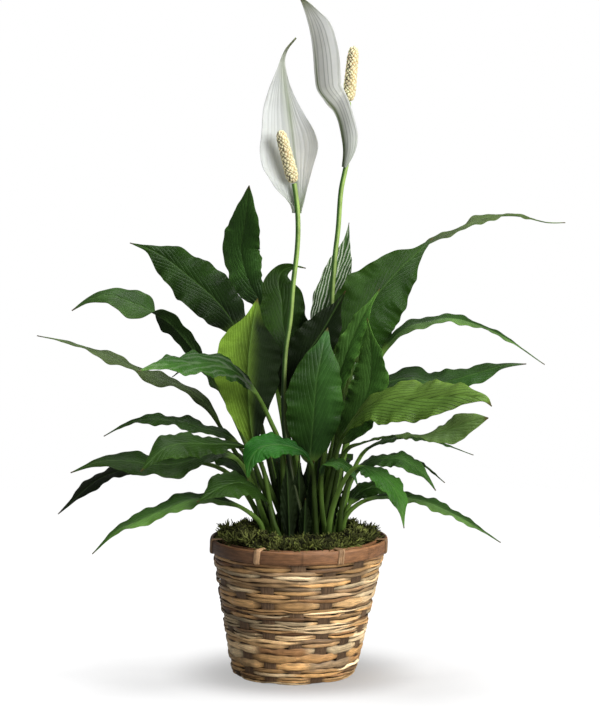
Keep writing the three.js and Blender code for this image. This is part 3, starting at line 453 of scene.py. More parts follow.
class Path:
    """A centripetal Catmull-Rom curve through given points, measured along its length.

    Columns after x, y and z are carried along at the same pace.
    """

    def __init__(self, points, per_span=48):
        p = np.array(points, float)
        p = np.vstack([2 * p[0] - p[1], p, 2 * p[-1] - p[-2]])
        a, b, c, d = p[:-3], p[1:-2], p[2:-1], p[3:]
        gaps = (b - a)[:, :3], (c - b)[:, :3], (d - c)[:, :3]
        before, here, after = (np.sqrt(np.linalg.norm(gap, axis=1))[:, None] for gap in gaps)
        leave = ((b - a) / before - (c - a) / (before + here) + (c - b) / here) * here
        arrive = ((c - b) / here - (d - b) / (here + after) + (d - c) / after) * here
        s = np.linspace(0, 1, per_span, endpoint=False)[None, :, None]
        square = 3 * (c - b) - 2 * leave - arrive
        cube = 2 * (b - c) + leave + arrive
        spans = b[:, None] + leave[:, None] * s + square[:, None] * s**2 + cube[:, None] * s**3
        self.places = np.vstack([spans.reshape(-1, p.shape[1]), p[-2]])
        self.tangents = unit(np.gradient(self.places[:, :3], axis=0))
        steps = np.linalg.norm(np.diff(self.places[:, :3], axis=0), axis=1)
        self.along = np.concatenate([[0], np.cumsum(steps)])
        self.length = self.along[-1]

    def read(self, table, shares):
        where = shares * self.length
        return np.stack([np.interp(where, self.along, column) for column in table.T], -1)

    def at(self, shares):
        return self.read(self.places, shares)

    def heading(self, shares):
        return unit(self.read(self.tangents, shares))


def frame_across(heading, side, roll=0.0):
    """The sideways and upward directions across a path, kept near a given side, then rolled."""
    s = unit(side - heading * dot(heading, side))
    up = np.cross(heading, s)
    roll = np.reshape(roll, (-1, 1))
    return s * np.cos(roll) + up * np.sin(roll), up * np.cos(roll) - s * np.sin(roll)


# ---------------------------------------------------------------- meshes

Form = namedtuple("Form", "points quads values")


def skin(rings, looped=False, **values):
    """A closed skin over sections: rings[i, j] is point j of section i.

    Quads join each section to the next all the way round. A strip of quads that pairs point j with
    point n - 1 - j closes each end, unless the sections run in a loop. Each value has one entry for
    every point, in the same order.
    """
    sections, n = rings.shape[:2]
    index = np.arange(sections * n).reshape(sections, n)
    here = index if looped else index[:-1]
    there = np.roll(index, -1, 0) if looped else index[1:]
    corners = [here, np.roll(here, -1, 1), np.roll(there, -1, 1), there]
    quads = [np.stack(corners, -1).reshape(-1, 4)]
    if not looped:
        j = np.arange(n // 2 - 1)
        start, end = index[0], index[-1]
        quads.append(np.stack([start[j], start[n - 1 - j], start[n - 2 - j], start[j + 1]], -1))
        quads.append(np.stack([end[j + 1], end[n - 2 - j], end[n - 1 - j], end[j]], -1))
    points = rings.reshape(-1, 3)
    quads = np.concatenate(quads)
    a, b, c, d = (points[quads[:, k]] for k in range(4))
    volume = (np.cross(a, b) * c).sum() + (np.cross(a, c) * d).sum()
    if volume < 0:
        quads = quads[:, ::-1]
    flat = {k: v.reshape(len(points), -1) for k, v in values.items()}
    return Form(points, quads, flat)


def joined(forms):
    """Several forms that carry the same values, as one."""
    starts = np.cumsum([0] + [len(f.points) for f in forms[:-1]])
    return Form(
        np.concatenate([f.points for f in forms]),
        np.concatenate([f.quads + start for f, start in zip(forms, starts)]),
        {k: np.concatenate([f.values[k] for f in forms]) for k in forms[0].values},
    )


def add_piece(name, form, material, slot, *nodes, crease=50.0):
    """Makes one object of a form, given in mm; it rides the body and stands for the CAD nodes."""
    mesh = bpy.data.meshes.new(name)
    mesh.vertices.add(len(form.points))
    mesh.vertices.foreach_set("co", (form.points * MM).astype(np.float32).ravel())
    mesh.loops.add(form.quads.size)
    mesh.loops.foreach_set("vertex_index", form.quads.astype(np.int32).ravel())
    mesh.polygons.add(len(form.quads))
    mesh.polygons.foreach_set("loop_start", np.arange(0, form.quads.size, 4, dtype=np.int32))
    mesh.update(calc_edges=True)
    mesh.shade_smooth()
    mesh.set_sharp_from_angle(angle=math.radians(crease))
    for key, value in form.values.items():
        width = value.shape[1]
        if key == "tint":
            layer = mesh.attributes.new(key, "FLOAT_COLOR", "POINT")
            whole = np.concatenate([value, np.ones((len(value), 1))], 1)
            layer.data.foreach_set("color", whole.astype(np.float32).ravel())
        elif width == 3:
            layer = mesh.attributes.new(key, "FLOAT_VECTOR", "POINT")
            layer.data.foreach_set("vector", value.astype(np.float32).ravel())
        else:
            layer = mesh.attributes.new(key, "FLOAT", "POINT")
            layer.data.foreach_set("value", value.astype(np.float32).ravel())
    mesh.materials.append(material)
    piece = bpy.data.objects.new(name, mesh)
    bpy.context.scene.collection.objects.link(piece)
    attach(piece, "root")
    if nodes:
        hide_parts(*nodes)


def dress(node, finish):
    """Gives a CAD solid that stays in sight a finish of its own."""
    materials = frame["nodes"][node].data.materials
    materials.clear()
    materials.append(finish)


# ---------------------------------------------------------------- materials


class Finish:
    """One material's node tree: each method adds a node and hands back its output."""

    def __init__(self, name):
        self.material = bpy.data.materials.new(name)
        self.material.use_nodes = True
        self.tree = self.material.node_tree
        self.shader = self.tree.nodes["Principled BSDF"]
        self.place = self.add("TexCoord", {}, "Object")

    def feed(self, node, inputs):
        for key, value in inputs.items():
            if isinstance(value, bpy.types.NodeSocket):
                self.tree.links.new(value, node.inputs[key])
            else:
                node.inputs[key].default_value = value

    def add(self, kind, inputs, output=0, **options):
        node = self.tree.nodes.new("ShaderNode" + kind)
        for key, value in options.items():
            setattr(node, key, value)
        self.feed(node, inputs)
        return node.outputs[output]

    def value(self, name):
        return self.add("Attribute", {}, "Fac", attribute_name=name)

    def vector(self, name):
        return self.add("Attribute", {}, "Vector", attribute_name=name)

    def tint(self):
        return self.add("Attribute", {}, "Color", attribute_name="tint")

    def parts(self, vector):
        node = self.tree.nodes.new("ShaderNodeSeparateXYZ")
        self.feed(node, {0: vector})
        return node.outputs

    def math(self, operation, a, b=0.0):
        return self.add("Math", {0: a, 1: b}, operation=operation)

    def stretch(self, vector, x, y, z):
        return self.add("VectorMath", {0: vector, 1: (x, y, z)}, operation="MULTIPLY")

    def noise(self, where, scale, detail=4.0, rough=0.55):
        inputs = {"Vector": where, "Scale": scale, "Detail": detail, "Roughness": rough}
        return self.add("TexNoise", inputs)

    def cells(self, where, scale):
        return self.add("TexVoronoi", {"Vector": where, "Scale": scale})

    def between(self, value, low, high, first=0.0, last=1.0):
        inputs = {
            "Value": value, "From Min": low, "From Max": high, "To Min": first, "To Max": last,
        }
        return self.add("MapRange", inputs, interpolation_type="SMOOTHSTEP")

    def lines(self, phase, full, none):
        """1 within "full" of each whole number of the phase, falling to 0 at "none"."""
        return self.between(self.math("PINGPONG", phase, 0.5), full, none, 1, 0)

    def scaled(self, tone, factor):
        return self.add("VectorMath", {0: tone, "Scale": factor}, operation="SCALE")

    def blend(self, amount, a, b):
        a, b = ((*c, 1.0) if isinstance(c, tuple) else c for c in (a, b))
        return self.add("Mix", {0: amount, 6: a, 7: b}, 2, data_type="RGBA")

    def close(self, tone, roughness, height, distance, **shader):
        bump = self.add("Bump", {"Height": height, "Distance": distance * MM, "Strength": 1.0})
        inputs = {"Base Color": tone, "Roughness": roughness, "Normal": bump, **shader}
        self.feed(self.shader, inputs)
        return self.material


def rgb(values):
    return tuple(float(v) for v in values)


def leaf_finish(name, settings):
    """Blade colour by point, with side veins, fine veins, a midrib, mottling and pale streaks of
    painted sheen.

    Veins are lines of even phase, which lighten the blade, or darken it where "veined" is below 0.
    """
    f = Finish(name)
    phase, off, _ = f.parts(f.vector("blade"))
    veined = f.value("veined")
    under = f.value("under")
    side_vein = f.math("MULTIPLY", f.lines(phase, 0.0, 0.17), veined)
    fine = f.math("MULTIPLY", f.lines(f.math("MULTIPLY", phase, 5.0), 0.0, 0.3), veined)
    rib = f.math("MULTIPLY", f.between(f.math("ABSOLUTE", off), 0.35, 1.1, 1, 0), veined)
    mottle = f.noise(f.place, 55.0, 5.0, 0.6)
    patches = f.noise(f.place, 14.0, 2.0, 0.5)
    grain = f.noise(f.place, 900.0, 2.0, 0.6)
    tone = f.scaled(f.tint(), f.between(mottle, 0.32, 0.68, 0.82, 1.2))
    tone = f.scaled(tone, f.between(patches, 0.35, 0.65, 0.86, 1.16))
    tone = f.scaled(tone, f.math("ADD", f.math("MULTIPLY", side_vein, 0.34), 1.0))
    tone = f.scaled(tone, f.math("ADD", f.math("MULTIPLY", fine, 0.12), 1.0))
    tone = f.blend(f.math("MULTIPLY", rib, 0.22), tone, rgb(settings.rib))
    # Painted sheen: pale streaks along the ribs stand for light reflected off them.
    bands = f.math("ADD", f.math("MULTIPLY", phase, 0.34), f.math("MULTIPLY", mottle, 1.6))
    streak = f.lines(bands, 0.03, 0.28)
    tone = f.blend(f.math("MULTIPLY", streak, f.value("stripe")), tone, rgb(settings.streak))
    dull = f.between(under, 0.0, 1.0, settings.gloss, 0.62)
    roughness = f.math("ADD", dull, f.between(mottle, 0.3, 0.7, -0.05, 0.07))
    relief = f.math("MULTIPLY", side_vein, f.between(under, 0.0, 1.0, -1.0, 0.7))
    relief = f.math("ADD", relief, f.math("MULTIPLY", fine, 0.25))
    relief = f.math("ADD", relief, f.math("MULTIPLY", grain, 0.3))
    return f.close(tone, roughness, relief, 0.3, **{"Specular IOR Level": 0.12})


SPATHE_DEPTH = (0.004, 0.004, 0.0035)  # how far red, green and blue light run in a hood, in metres


def spathe_finish(name):
    """Colour by point, darker and lower along the ribs, which are lines of even phase."""
    f = Finish(name)
    rib = f.lines(f.parts(f.vector("blade"))[0], 0.0, 0.25)
    cloud = f.noise(f.place, 60.0, 3.0, 0.5)
    grain = f.noise(f.place, 1100.0, 2.0, 0.6)
    tone = f.scaled(f.tint(), f.between(cloud, 0.3, 0.7, 0.94, 1.03))
    ribbed = f.math("MULTIPLY", rib, f.value("ribbed"))
    tone = f.scaled(tone, f.math("SUBTRACT", 1.0, f.math("MULTIPLY", ribbed, 0.3)))
    relief = f.math("SUBTRACT", f.math("MULTIPLY", grain, 0.35), ribbed)
    roughness = f.between(cloud, 0.3, 0.7, 0.46, 0.56)
    scatter = {"Subsurface Weight": 0.6, "Subsurface Radius": SPATHE_DEPTH, "Subsurface Scale": 1.0}
    return f.close(tone, roughness, relief, 0.15, **scatter)


def plain_finish(name, gloss, relief_mm, scale, **shader):
    """Colour by point with soft clouds and a fine grain, for stalks, florets and moss."""
    f = Finish(name)
    cloud = f.noise(f.place, scale, 4.0, 0.6)
    grain = f.noise(f.place, scale * 12, 2.0, 0.6)
    tone = f.scaled(f.tint(), f.between(cloud, 0.3, 0.7, 0.8, 1.22))
    roughness = f.between(cloud, 0.3, 0.7, gloss - 0.06, gloss + 0.08)
    return f.close(tone, roughness, grain, relief_mm, **shader)


def cane_finish(name, gloss, streak, relief_mm):
    """Split cane: streaks and pores run along the strip, by its own grain coordinates in mm."""
    f = Finish(name)
    grain = f.vector("grain")
    fibres = f.noise(f.stretch(grain, 0.035, 2.2, 1.0), 1.0, 4.0, 0.6)
    threads = f.noise(f.stretch(grain, 0.10, 7.0, 1.0), 1.0, 3.0, 0.6)
    blotches = f.noise(f.stretch(grain, 0.12, 0.35, 1.0), 1.0, 3.0, 0.5)
    tone = f.scaled(f.tint(), f.between(fibres, 0.3, 0.7, 1.0 - streak, 1.0 + streak))
    tone = f.scaled(tone, f.between(threads, 0.35, 0.65, 1.0 - 0.5 * streak, 1.0 + 0.35 * streak))
    tone = f.scaled(tone, f.between(blotches, 0.3, 0.7, 0.78, 1.14))
    roughness = f.between(fibres, 0.3, 0.7, gloss + 0.08, gloss - 0.06)
    relief = f.math("ADD", fibres, f.math("MULTIPLY", threads, 0.5))
    return f.close(tone, roughness, relief, relief_mm, **{"Specular IOR Level": 0.4})


def solid_finish(name, dark, light, scale, gloss, relief_mm):
    """A finish that needs no point values: two colours by a cloud in object coordinates."""
    f = Finish(name)
    cloud = f.noise(f.place, scale, 5.0, 0.65)
    lumps = f.cells(f.place, scale * 2.5)
    tone = f.blend(f.between(cloud, 0.35, 0.65), rgb(dark), rgb(light))
    relief = f.math("ADD", cloud, f.math("MULTIPLY", lumps, 0.6))
    return f.close(tone, f.between(cloud, 0.3, 0.7, gloss, gloss + 0.12), relief, relief_mm)


# ---------------------------------------------------------------- leaves

# Colours of a blade: the settings' colour it starts from, then shares of it for the two halves of
# the upper face, the tip, and the two halves of the underside; halves that differ are painted lit
# and shaded.
TONES = {
    "deep": ("leaf", (0.72, 0.78, 0.6), (0.85, 0.86, 0.72), (1.3, 1.2, 1.1), (1.2, 1.1, 1.4),
        (1.4, 1.2, 1.6)),
    "forest": ("leaf", (0.8, 0.8, 0.65), (0.95, 0.9, 0.8), (1.3, 1.15, 1.1), (1.2, 1.1, 1.4),
        (1.4, 1.2, 1.6)),
    "fresh": ("leaf", (1.75, 2.1, 2.0), (2.2, 2.5, 2.5), (4.4, 3.8, 4.2), (3.0, 2.7, 4.0),
        (3.2, 2.8, 4.2)),
    "mid": ("leaf", (1.7, 1.7, 2.2), (2.1, 2.0, 2.8), (2.6, 2.3, 3.2), (2.4, 2.0, 3.4),
        (2.6, 2.1, 3.6)),
    "wavy": ("leaf", (1.05, 1.25, 1.1), (0.75, 0.85, 0.7), (0.9, 0.85, 0.75), (1.6, 1.4, 2.2),
        (1.8, 1.5, 2.4)),
    "bright": ("leaf", (3.0, 3.0, 3.6), (4.0, 3.6, 4.8), (5.0, 4.2, 5.5), (4.6, 3.8, 6.0),
        (5.0, 4.0, 6.5)),
    "scoop": ("leaf", (3.3, 2.2, 3.8), (4.0, 2.5, 4.6), (4.4, 2.7, 5.2), (4.2, 2.9, 5.4),
        (4.6, 3.1, 6.0)),
    "lime": ("young", (1.0, 1.0, 1.0), (0.05, 0.06, 0.14), (0.9, 0.9, 0.9), (1.0, 1.0, 1.0),
        (0.05, 0.06, 0.14)),
    "olive_bright": ("leaf", (5.2, 3.7, 4.2), (6.2, 4.1, 5.0), (6.4, 4.3, 5.2), (4.6, 3.1, 5.0),
        (5.0, 3.3, 5.5)),
    "emerald": ("leaf", (0.7, 1.5, 1.2), (1.0, 1.9, 1.6), (1.9, 2.5, 2.2), (1.3, 1.6, 1.8),
        (1.5, 1.8, 2.0)),
    "banded": ("leaf", (1.0, 1.0, 1.1), (3.2, 2.6, 3.6), (2.6, 2.3, 3.2), (2.4, 2.0, 3.4),
        (2.6, 2.1, 3.6)),
    "blue": ("leaf", (1.5, 1.6, 2.2), (0.9, 1.0, 0.95), (3.4, 3.2, 8.0), (2.8, 2.5, 5.0),
        (3.0, 2.6, 5.0)),
    "dull": ("leaf", (2.8, 1.6, 3.8), (3.2, 1.8, 4.4), (5.0, 2.8, 8.0), (4.2, 3.0, 7.0),
        (4.6, 3.2, 8.0)),
    "arched": ("leaf", (3.9, 2.9, 5.4), (0.85, 0.9, 0.85), (2.6, 2.1, 3.4), (4.0, 3.1, 5.6),
        (4.4, 3.3, 6.0)),
    "twisted": ("leaf", (1.4, 1.25, 1.9), (1.6, 1.35, 2.1), (1.9, 1.5, 2.4), (0.7, 0.6, 0.9),
        (1.0, 0.9, 1.2)),
    "striped": ("leaf", (1.8, 1.7, 2.6), (1.8, 1.6, 2.6), (3.4, 2.6, 6.0), (1.8, 1.6, 3.0),
        (1.8, 1.6, 3.0)),
    "night": ("shaded", (0.9, 0.9, 0.9), (1.1, 1.1, 1.0), (1.8, 1.7, 1.3), (1.8, 1.6, 1.8),
        (2.2, 1.8, 2.0)),
}
KINDS = {
    "young_leaf": ("lime", "bright_right", "bright_left", "front_drop_left", "drop_right"),
    "shaded_leaf": ("upright_left", "dark_diagonal", "upright_right", "narrow_left", "dark_left",
        "front_low_left", "low_dark_right"),
}
STALK_RADIUS = (3.1, 1.9)  # where a leaf's stalk meets the soil, and where it meets the blade
RIB_DEPTH = (1.6, 0.35)  # midrib below the blade, at its base and its tip
CURL = 0.22  # how far a blade's halves bow down, as a share of their width
STALK_TONES = [0.6, 1.0, 1.5, 2.4]  # how bright one leaf's stalk may be against another's
NICKS = ((3.3, 5.9, 9.7), (3.7, 6.3, 8.9))  # waves along the ragged outline of each half
NICK_SIZES = (0.5, 0.35, 0.25)
NARROW_POINTS = 25  # points across a blade, and across one that is over WIDE_BLADE mm wide
WIDE_POINTS = 33
WIDE_BLADE = 40
STALK_SECTIONS = 15


def leaf_slot(name):
    """The kind of leaf whose material this one takes."""
    return next((slot for slot, names in KINDS.items() if name in names), "leaf")


def leaf_path(leaf):
    """The midrib of a leaf with its stalk, and the level direction across its upright plane."""
    reach, azimuth = leaf["foot"]
    foot = [bearing(azimuth, reach, z) for z in (SOIL_TOP - PLANTING_DEPTH, SOIL_TOP + 10)]
    a = math.radians(leaf["azimuth"])
    side = np.array([-math.sin(a), math.cos(a), 0])
    arch = [bearing(leaf["azimuth"], *p[:2]) + side * sum(p[2:]) for p in leaf["arch"]]
    return Path(foot + arch), side


def nicked(t, starts, pitches):
    """How far one half's outline strays from its smooth course at share t of the blade."""
    return sum(np.sin(2 * np.pi * k * t + c) * r for k, c, r in zip(pitches, starts, NICK_SIZES))


def leaf_form(leaf, settings, rng):
    """One leaf as a closed skin over a stalk and a blade, by sections across a curved midrib.

    A section has an upper and a lower row of points. The half width at share t of the blade is
    half the width times sin(pi t^k)^0.9, drawn in to a drip tip and nicked by a few sines. Each
    half rises by the fold, bows down by the square of its place across, and waves by a cosine along
    the blade that grows towards the edge. Between side veins, which leave the midrib at an angle
    and curve towards the tip, the blade swells. The midrib is a shallow groove above and a ridge
    below.
    """
    path, side = leaf_path(leaf)
    start = 1 - leaf["blade"] / path.length
    count = WIDE_POINTS if leaf["width"] > WIDE_BLADE else NARROW_POINTS
    blade = np.linspace(start, 1, int(leaf["blade"] / (settings.step / MM)) + 1)
    stations = np.concatenate([np.linspace(0, start, STALK_SECTIONS, endpoint=False), blade])
    t = np.clip((stations - start) / (1 - start), 0, 1)[:, None]
    turn = smoothstep(*leaf.get("turns", (0, 0.9)), t)
    roll = np.radians(leaf["roll"] + leaf.get("twist", 0) * turn)
    across, up = frame_across(path.heading(stations), side, roll)
    power = math.log(0.5) / math.log(leaf.get("broadest", 0.4))
    drip = 1 - leaf.get("drip", 0.5) * smoothstep(0.7, 0.92, t)
    outline = np.sin(np.pi * t**power).clip(0) ** 0.9 * drip
    half = np.where(t > 0, np.maximum(0.45, leaf["width"] / 2 * outline), 0)
    shift = rng.uniform(0, 6.28, 6)
    w = np.linspace(-1, 1, count)[None, :]
    u = np.sign(w) * np.abs(w) ** 1.5
    flat = smoothstep(0, 0.12, t)
    stalk_share = np.minimum(1, stations / start)[:, None]
    radius = mix(*STALK_RADIUS, stalk_share)
    fold = math.radians(leaf["fold"])
    ruffles = leaf.get("ruffles", 4)
    swell = np.sin(np.pi * np.minimum(1, t * 1.1))
    wave = leaf["ruffle"] * swell * np.cos(2 * np.pi * ruffles * t)
    frills = np.sin(2 * np.pi * (2.7 * ruffles) * t + np.where(u < 0, *shift[:2]))
    frill = 0.8 * swell * frills * np.abs(u) ** 3
    low_side, high_side = nicked(t, shift[:3], NICKS[0]), nicked(t, shift[3:], NICKS[1])
    half = half * (1 + settings.ragged * np.where(u < 0, low_side, high_side))
    off = half * u
    lead = leaf.get("slant", 2.9) * (np.abs(off) + 0.025 * off**2)
    spacing = settings.vein_spacing / MM * leaf.get("apart", 1.0)
    phase = (t * leaf["blade"] - lead) / spacing
    veined = flat * (1 - smoothstep(0.88, 1.0, t))
    open_blade = smoothstep(0.6, 4, np.abs(off)) * (1 - np.abs(u) ** 6) * veined
    quilt = settings.vein_depth / MM * (np.abs(np.sin(np.pi * phase)) ** 0.7 - 0.6) * open_blade
    groove = -0.45 * np.exp(-((off / 0.9) ** 2)) * veined
    ridge = mix(*RIB_DEPTH, t) * np.exp(-((off / 1.3) ** 2))
    thick = settings.thickness / MM / 2
    rise = half * math.sin(fold) * (np.abs(u) - 0.5) - half * CURL * (u**2 - 0.35)
    rise = rise + wave * u * np.abs(u) + frill + quilt
    angle = np.pi / 2 - w * np.pi / 2 * (count - 1) / count
    sideways = off * math.cos(fold) + radius * np.cos(angle) * (1 - flat)
    above = mix(radius * np.sin(angle), thick + rise + groove, flat)
    below = mix(-radius * np.sin(angle), rise - thick - ridge, flat)
    middle = path.at(stations)[:, None] + across[:, None] * sideways[..., None]
    rows = [middle + up[:, None] * height[..., None] for height in (above, below)]
    rings = np.concatenate([rows[0], rows[1][:, ::-1]], 1)

    def both(upper, lower=None):
        lower = upper if lower is None else lower
        upper, lower = (np.broadcast_to(face, (len(stations), count)) for face in (upper, lower))
        return np.concatenate([upper, lower[:, ::-1]], 1)

    return skin(
        rings,
        tint=leaf_tint(leaf, settings, rng, t, u, stalk_share),
        blade=np.stack([both(phase), both(off), both(t)], -1),
        veined=both(veined * leaf.get("veins", 1.0)),
        stripe=both(veined * leaf.get("stripe", 0.0)),
        under=both(0.0, flat),
    )


def leaf_tint(leaf, settings, rng, t, u, stalk_share):
    """Colours of a leaf's upper and lower rows, at share t along its blade and place u across.

    The tone's colours for the two halves, one painted lit and the other painted shaded, meet at the
    split. The blade is darker towards its foot, as painted shade, a little paler at the edge, takes
    the tone's tip colour and ends in a dry point. The stalk is painted darker towards the soil, in
    shade.
    """
    field, *shares = TONES[leaf["tone"]]
    low, high, tip, under_low, under_high = np.array(shares) * np.array(getattr(settings, field))
    split = leaf.get("split", 0.0)
    soft = leaf.get("soft", 0.2)
    # Painted light and shade: one half of the blade takes the tone's lit colour, the other its
    # shaded colour.
    cross = smoothstep(split - soft, split + soft, u)[..., None]
    t = t[..., None]
    upper = mix(low, high, cross) * (1 + 0.12 * rng.uniform(-1, 1))
    # Painted shade towards the blade's foot, among the other leaves; a base above 1 paints light
    # there instead.
    dark, until = leaf.get("base", (0.42, 0.55))
    upper = upper * mix(dark, 1.0, smoothstep(0.0, until, t))
    upper = mix(upper, tip, smoothstep(0.72, 1, t) * 0.7)
    upper = mix(upper, upper * (1.25, 1.18, 1.0), (np.abs(u) ** 8)[..., None])
    # The underside is also painted darker towards the blade's foot, in shade.
    lower = mix(under_low, under_high, cross) * mix(0.5, 1.0, smoothstep(0.0, 0.45, t))
    lower = mix(lower, tip, smoothstep(0.8, 1, t) * 0.5)
    dry = smoothstep(0.96, 0.99, t) * 0.85
    upper, lower = (mix(face, np.array(settings.dry), dry) for face in (upper, lower))
    # Painted shade on the stalk, darker towards the soil.
    foot_shade = mix(0.35, 1.0, smoothstep(0.1, 0.7, stalk_share[..., None]))
    stalk = np.array(settings.stalk) * rng.choice(STALK_TONES) * foot_shade
    leafy = smoothstep(0.0, 0.10, t)
    return np.concatenate([mix(stalk, upper, leafy), mix(stalk, lower, leafy)[:, ::-1]], 1)


SHEATHS = 22
GOLDEN_ANGLE = 137.5  # degrees between one sheath and the next


def sheath_forms(settings, rng):
    """Short dark sheaths among the stalks: narrow upright blades at seeded places."""
    forms = []
    for sheath in range(SHEATHS):
        azimuth, reach, tall = sheath * GOLDEN_ANGLE, rng.uniform(4, 30), rng.uniform(42, 84)
        spread = reach + rng.uniform(2, 8)
        arch = ((reach + 1, SOIL_TOP + 12 + tall * 0.3), (spread, SOIL_TOP + 12 + tall * 0.7),
                (spread + 3, SOIL_TOP + 12 + tall))
        leaf = dict(
            azimuth=azimuth, foot=(reach, azimuth), blade=tall, width=rng.uniform(13, 19), fold=20,
            roll=rng.uniform(-35, 35), ruffle=0.4, tone="night", arch=arch,
        )
        forms.append(leaf_form(leaf, settings, rng))
    return forms


# ---------------------------------------------------------------- flowers

BLOOM_STALK_RADIUS = (3.1, 2.35)  # at its foot, and from halfway up


def stalk_form(flower, settings):
    """A round stalk swept along its curve; it thins from foot to top and is a little ribbed."""
    path = Path(flower["stalk"])
    s = np.linspace(0, 1, 110)
    across, up = frame_across(path.heading(s), np.array([1.0, 0, 0]))
    angle = np.linspace(0, 2 * np.pi, 20, endpoint=False)[None, :]
    ribbed = 1 + 0.03 * np.cos(5 * angle)
    radius = mix(*BLOOM_STALK_RADIUS, np.minimum(1, s * 2))[:, None] * ribbed
    rings = path.at(s)[:, None] + across[:, None] * (radius * np.cos(angle))[..., None]
    rings = rings + up[:, None] * (radius * np.sin(angle))[..., None]
    # Painted shade darkens the stalk towards its foot among the leaves; painted light makes one
    # side lit and the other shaded.
    tone = np.array(settings.stalk) * mix(0.16, 1.1, smoothstep(0.3, 0.8, s))[:, None, None]
    lit = smoothstep(-0.3, 0.4, np.cos(angle)) + 0.1 * np.cos(5 * angle + 1)
    return skin(rings, tint=tone * mix(np.array([0.2, 0.36, 0.2]), 1.2, lit[..., None]))


SPADIX_RADIUS = 6.1
FLORET_RELIEF = 1.2
FLORET_PITCH = 4.4  # along the spadix
FLORET_ROWS = 8


def spadix_form(flower, settings):
    """A blunt finger crowded with florets.

    The radius swells where |sin(pi a) sin(pi b)| is high, a and b running round and along in the
    slanting rows that the florets stand in, which wander a little. The gaps between florets are
    dark on the left and tan on the right, where the light comes from.
    """
    top, tip = np.array(flower["stalk"][-1], float), np.array(flower["tip"], float)
    axis = unit(tip - top)
    foot = top + axis * 2 * CLEARANCE
    s = np.linspace(0, 1, 190)[:, None]
    blunt = np.sqrt(np.maximum(0.02, 1 - np.abs(2 * s - 1) ** 7))
    radius = SPADIX_RADIUS * mix(1, 0.82, s) * blunt
    long = np.linalg.norm(tip - top)
    angle = np.linspace(0, 2 * np.pi, 120, endpoint=False)[None, :]
    round_share = FLORET_ROWS * angle / (2 * np.pi) + 0.13 * np.sin(41 * s + 2 * angle)
    wander = 0.16 * np.sin(3 * angle + 23 * s) + 0.1 * np.cos(5 * angle - 37 * s)
    along_share = s * long / FLORET_PITCH + wander
    one_way = np.sin(np.pi * (along_share + round_share))
    other_way = np.sin(np.pi * (along_share - round_share))
    floret = np.abs(one_way * other_way) ** 0.45
    relief = FLORET_RELIEF * (floret - 0.6) * smoothstep(0, 0.04, s)
    body = radius + relief * (1 - smoothstep(0.97, 1, s))
    across, up = frame_across(axis[None, :], np.array([1.0, 0, 0]))
    rings = foot + axis * (s * long)[..., None] + across * (body * np.cos(angle))[..., None]
    rings = rings + up * (body * np.sin(angle))[..., None]
    floret_tone = np.array(settings.floret)
    lit = smoothstep(-0.3, 0.7, np.cos(angle + 0.3))[..., None]
    gap = mix(np.array(settings.floret_gap), floret_tone * (0.62, 0.52, 0.36), lit)
    patch = 1 + 0.12 * np.sin(7 * angle + 31 * s) * np.sin(3 * angle - 17 * s)
    tone = mix(gap, floret_tone * patch[..., None], smoothstep(0.3, 0.78, floret)[..., None])
    return skin(rings, tint=tone)


SPATHE_SPAN = 40  # places worked out between one row of the plan and the next


